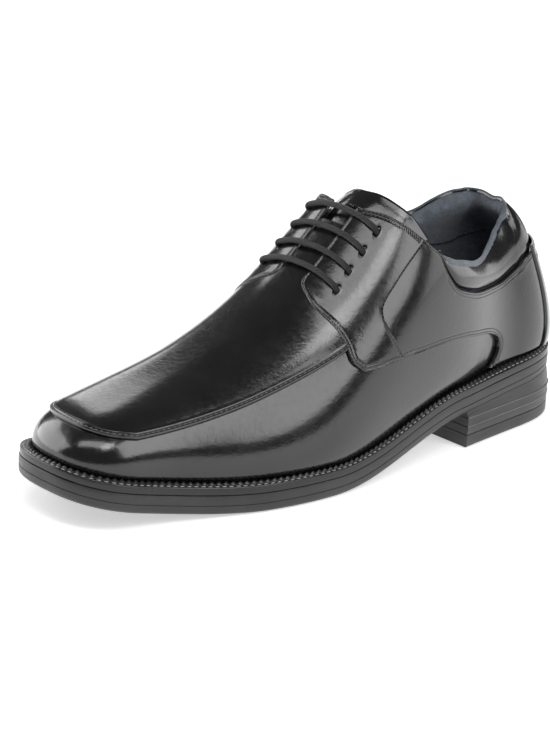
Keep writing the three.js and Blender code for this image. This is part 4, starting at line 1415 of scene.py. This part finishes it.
    def girth_at(self, step: float, side: float, half: float) -> float:
        """The highest girth at which the last is at least a half width from the middle plane."""
        girths = np.linspace(0.3, 1, 200)
        wide = np.abs(self.bench.last.point(step, side, girths)[:, 1]) > half
        return 1.0 if step < 1.3 or not wide.any() else float(girths[wide].max())

    def step_for(self, half: float, girth: float) -> float:
        """The step at which the last is a given half width from the middle plane."""
        steps = np.linspace(0, 1, 200)
        y = self.bench.last.point(steps, 1, girth)[:, 1]
        return float(np.interp(half, y, steps))

    def build_lining(self) -> None:
        """The cloth lining, padded at the collar."""
        bench, last = self.bench, self.bench.last
        end = last.plan.step_at(0.44 * last.length)
        signed = np.concatenate([-np.linspace(end, 0, 150, endpoint=False), np.linspace(0, end, 151)])
        step, side = self.signed(signed)
        high = self.girths(signed, "top") - 0.004
        clear = np.array([self.girth_at(value, sign, THROAT_HALF + 6) for value, sign in zip(step, side)])
        high = np.minimum(high, clear)
        back = smooth(1.42 - step, 0.0, 0.15)
        rows = []
        for k in np.concatenate([np.linspace(0.02, 0.9, 50), [0.93, 0.955, 0.975, 0.99, 1.0]]):
            puff = 3.2 * math.exp(-(((k - 0.9) / 0.12) ** 2)) * back
            rise = -last.wall - 0.05 - puff + (2.2 + 1.5 * back) * smooth(k, 0.93, 1.0)
            rows.append(last.on(step, side, high * k, rise - self.lean_in * self.leaning(step, side) * k**6))
        low = self.girths(signed, "foot") + 0.003
        for k, out, lift in self.roll:
            girth = high * k + lift * back
            share = np.clip((girth - low) / np.maximum(high - low, 0.02), 0, 1)
            narrow = 0.35 + 0.65 * smooth((high - low) * 110, 0.5, 9.0)
            over = last.gap + self.pad_rise(share, step, side) * narrow
            rise = np.where(step < 1.29, over + out, out - 0.1)
            rows.append(last.on(step, side, girth, rise))
        lining = bench.sheet("lining_cloth_shell", np.array(rows))
        self.turn_out(lining)
        bench.flip(lining)
        bench.thicken(lining, 0.5)
        bench.hand_in(lining, CLOTH, Slot.LINING)
        runs = []
        for side in (1, -1):
            line = catmull(np.array(INNER_SEAM), 20)
            points = last.on(line[:, 0], side, line[:, 1], np.full(len(line), -last.wall - 0.45))
            runs.append((points, -last.normal(line[:, 0], side, line[:, 1])))
        bench.hand_in(Seam(2.0, 2.1, 0.6, 0.3).build(bench, "lining_seam", runs), BLACK_THREAD, Slot.LINING)


@dataclass
class Tongue:
    """The tongue: it lies on the vamp's lining under the facings and rises in a round top behind them."""

    bench: Bench
    thick: float = 3.0
    rows: tuple = ((0.475, 0.605), (0.51, 0.65), (0.55, 0.67), (0.6, 0.7), (0.63, 0.73))
    top: tuple = ((0.0, 123.6, 123.4), (0.3, 122.4, 123.4), (0.6, 120.2, 120.4), (0.82, 116.6, 115.4),
                  (1.0, 112.2, 106.6))
    half: tuple = (33.0, 24.0)

    def row_on_last(self, at: float, edge: float) -> Array:
        """One row that follows the last."""
        last = self.bench.last
        step = last.plan.step_at(at * last.length)
        halves = []
        for side in (1, -1):
            girth = np.linspace(edge, 1, 27)
            out = np.abs(last.point(step, side, girth)[:, 1])
            sunk = 2.9 + 3.9 * smooth(out, THROAT_HALF, 2 * THROAT_HALF)
            halves.append(last.on(step, side, girth, -sunk))
        return np.vstack([halves[0], halves[1][-2::-1]])

    def top_row(self) -> Array:
        """The tongue's round top edge."""
        mirrored = [(-share, x, z) for share, x, z in self.top[:0:-1]]
        line = catmull(np.array([*mirrored, *self.top]), 12)
        share = np.linspace(1, -1, 53)
        x, z = np.interp(share, line[:, 0], line[:, 1]), np.interp(share, line[:, 0], line[:, 2])
        z = z - 2.4 * smooth(-share, 0.0, 0.5)
        return np.stack([x, share * np.where(share > 0, self.half[0], self.half[1]), z], -1)

    def build(self) -> None:
        """Builds the tongue."""
        bench = self.bench
        rows = catmull(np.array(self.rows), 7)
        lower = [self.row_on_last(at, edge) for at, edge in rows]
        top, join = self.top_row(), lower[0]
        down = join - top
        down /= np.linalg.norm(down, axis=1, keepdims=True)
        across = np.gradient(top, axis=0)
        outward = np.cross(across, down)
        outward *= np.sign(outward[:, 2:3] + outward[:, 0:1])
        outward /= np.linalg.norm(outward, axis=1, keepdims=True)
        grid = [top - 2.0 * outward + 1.3 * down, top - 1.2 * outward + 0.35 * down, top - 0.5 * outward + 0.02 * down]
        grid += [top + 0.35 * down, top + 1.3 * down - 0.05 * outward]
        for share in np.linspace(0.14, 0.94, 14):
            grid.append(top * (1 - share) + join * share + 1.5 * math.sin(math.pi * share) * outward)
        tongue = bench.sheet("tongue_leather", np.array(grid + lower))
        total = sum(face.normal.z * face.area for face in tongue.data.polygons)
        if total < 0:
            bench.flip(tongue)
        bench.thicken(tongue, self.thick - 1.2)
        bench.hand_in(tongue, LEATHER, Slot.LEATHER, "tongue", angle=80)


@dataclass
class Lace:
    """One round waxed cord through the punched eyelets: straight bars, with the runs behind the facings."""

    bench: Bench
    diameter: float = 2.7
    sides: int = 18
    bend: tuple = ((0.0, -2.0), (0.0, 1.9), (0.09, -0.85), (0.33, -0.1), (0.66, 0.15), (1.6, 0.1), (4.0, 0.0),
                   (7.0, 0.0))
    hidden: tuple = ((0.1, 0.0), (0.5, -0.3), (0.9, 0.0))

    def path(self) -> Array:
        """The cord's middle line."""
        last = self.bench.last
        over = 3 * last.gap + 1.6 + self.diameter / 2
        under = -last.wall - 2 * last.gap - self.diameter / 2
        points: list[Array] = []
        crown = lambda at: last.on(last.plan.step_at(at * last.length), 1, 1.0, over - 0.1)
        for i, (at, girth) in enumerate(EYELETS):
            first = 1 if i % 2 == 0 else -1
            step = last.plan.step_at(at * last.length)
            halves = []
            for side in (first, -first):
                reach = np.linalg.norm(last.point(step, side, girth) - last.point(step, side, 1.0))
                half = []
                for k, (along, offset) in enumerate(self.bend):
                    share = girth + (1 - girth) * along * self.diameter / reach
                    level = offset if k < 2 else over + offset
                    half.append(last.on(step, side, share, level))
                halves.append(half)
            points += [*halves[0], crown(at), *halves[1][::-1]]
            if i + 1 < len(EYELETS):
                to_at, to_girth = EYELETS[i + 1]
                to_step = last.plan.step_at(to_at * last.length)
                for along, offset in self.hidden:
                    points.append(last.on(step + (to_step - step) * along, -first, girth + (to_girth - girth) * along,
                                          under + offset))
        return np.array(points)

    def build(self) -> None:
        """Builds the cord."""
        bench = self.bench
        path = catmull(self.path(), 7)
        along = np.gradient(path, axis=0)
        along /= np.linalg.norm(along, axis=1, keepdims=True)
        across = np.array([1.0, 0.0, 0.0])
        turn = np.linspace(0, 2 * np.pi, self.sides + 1)
        rows = []
        for point, forward in zip(path, along):
            across = across - across.dot(forward) * forward
            across /= np.linalg.norm(across)
            upward = np.cross(forward, across)
            rows.append(point + self.diameter / 2 * (np.cos(turn)[:, None] * across + np.sin(turn)[:, None] * upward))
        ends = [np.repeat(path[k][None], self.sides + 1, 0) for k in (0, -1)]
        cord = bench.sheet("lace_cord_bars", np.array([ends[0], *rows, ends[1]]))
        bench.weld(cord)
        bench.hand_in(cord, CORD, Slot.LACE, "lace", angle=80)


# Studio.


@dataclass
class Softbox:
    """A soft area light, placed by its direction from the shoe and aimed at it."""

    name: str
    azimuth: float
    elevation: float
    distance: float
    size: tuple[float, float]
    radiance: float

    def add(self, target: Vector) -> None:
        """Adds the light."""
        data = bpy.data.lights.new(self.name, "AREA")
        data.shape = "RECTANGLE"
        data.size, data.size_y = self.size
        data.energy = self.radiance * math.pi * self.size[0] * self.size[1]
        light = bpy.data.objects.new(self.name, data)
        bpy.context.scene.collection.objects.link(light)
        azimuth, elevation = math.radians(self.azimuth), math.radians(self.elevation)
        flat = math.cos(elevation)
        way = Vector((flat * math.cos(azimuth), flat * math.sin(azimuth), math.sin(elevation)))
        light.location = target + way * self.distance
        light.rotation_euler = way.to_track_quat("Z", "Y").to_euler()


@dataclass
class Studio:
    """The floor, the soft lights and the camera at the photograph's angle."""

    bench: Bench
    azimuth: float = 43.747
    elevation: float = 18.676
    roll: float = 3.781
    distance: float = 1276.0
    focal_px: float = 2782.9
    image_height: int = 733
    sensor: float = 36.0
    target: tuple = (171.5, -1.01, 45.46)
    boxes: tuple = (
        Softbox("front_left", -66.0, 18.0, 1.4, (1.4, 1.1), 3.2),
        Softbox("side_high", 108.0, 33.0, 1.4, (0.7, 1.1), 3.7),
        Softbox("top_near", 22.0, 67.0, 1.4, (1.6, 0.42), 3.6),
        Softbox("facing_top", 68.0, 57.0, 1.4, (0.5, 0.45), 3.4),
        Softbox("back_low", 160.0, 8.0, 1.6, (1.5, 0.45), 1.6),
        Softbox("far_rim", -127.0, 24.0, 1.5, (0.6, 0.85), 2.0),
    )

    def build(self) -> None:
        """Adds floor, world, lights and camera."""
        bench = self.bench
        bpy.ops.object.select_all(action="DESELECT")
        bpy.ops.mesh.primitive_plane_add(size=12.0)
        floor = bpy.context.object
        floor.name = "floor"
        floor.location.z = -0.0004
        floor.data.materials.append(bench.palette(PaleFloor()))
        world = bpy.context.scene.world or bpy.data.worlds.new("studio")
        bpy.context.scene.world = world
        world.use_nodes = True
        world.node_tree.nodes["Background"].inputs["Color"].default_value = (1, 1, 1, 1)
        world.node_tree.nodes["Background"].inputs["Strength"].default_value = 0.1
        bpy.context.scene.view_settings.view_transform = "Standard"
        middle = Vector(((np.array(self.target) + bench.shift) * MM).tolist())
        for box in self.boxes:
            box.add(middle)
        self.add_camera()

    def add_camera(self) -> None:
        """The camera, placed from the fitted view."""
        az, el, roll = (math.radians(value) for value in (self.azimuth, self.elevation, self.roll))
        away = np.array([math.sin(az) * math.cos(el), math.cos(az) * math.cos(el), math.sin(el)])
        right = np.cross(-away, [0.0, 0.0, 1.0])
        right /= np.linalg.norm(right)
        up = np.cross(right, -away)
        turned_right = math.cos(roll) * right + math.sin(roll) * up
        turned_up = -math.sin(roll) * right + math.cos(roll) * up
        place = (np.array(self.target) + self.bench.shift + away * self.distance) * MM
        data = bpy.data.cameras.new("camera")
        data.sensor_fit = "VERTICAL"
        data.sensor_height = self.sensor
        data.lens = self.focal_px / self.image_height * self.sensor
        data.clip_start, data.clip_end = 0.01, 50
        camera = bpy.data.objects.new("camera", data)
        bpy.context.scene.collection.objects.link(camera)
        matrix = np.eye(4)
        matrix[:3, 0], matrix[:3, 1], matrix[:3, 2], matrix[:3, 3] = turned_right, turned_up, away, place
        camera.matrix_world = Matrix(matrix.tolist())
        bpy.context.scene.camera = camera


def main() -> None:
    """Builds the whole shoe in its studio."""
    logging.basicConfig(level=logging.INFO, format="%(message)s")
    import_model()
    last = Last()
    bench = Bench(last, Palette())
    Studio(bench).build()
    Bottom(bench).build()
    lines = Lines(last)
    Vamp(bench, lines).build()
    for side in Side:
        Quarter(bench, lines, side.value).build()
    Collar(bench, lines).build()
    Tongue(bench).build()
    Lace(bench).build()


if __name__ == "__main__":
    main()
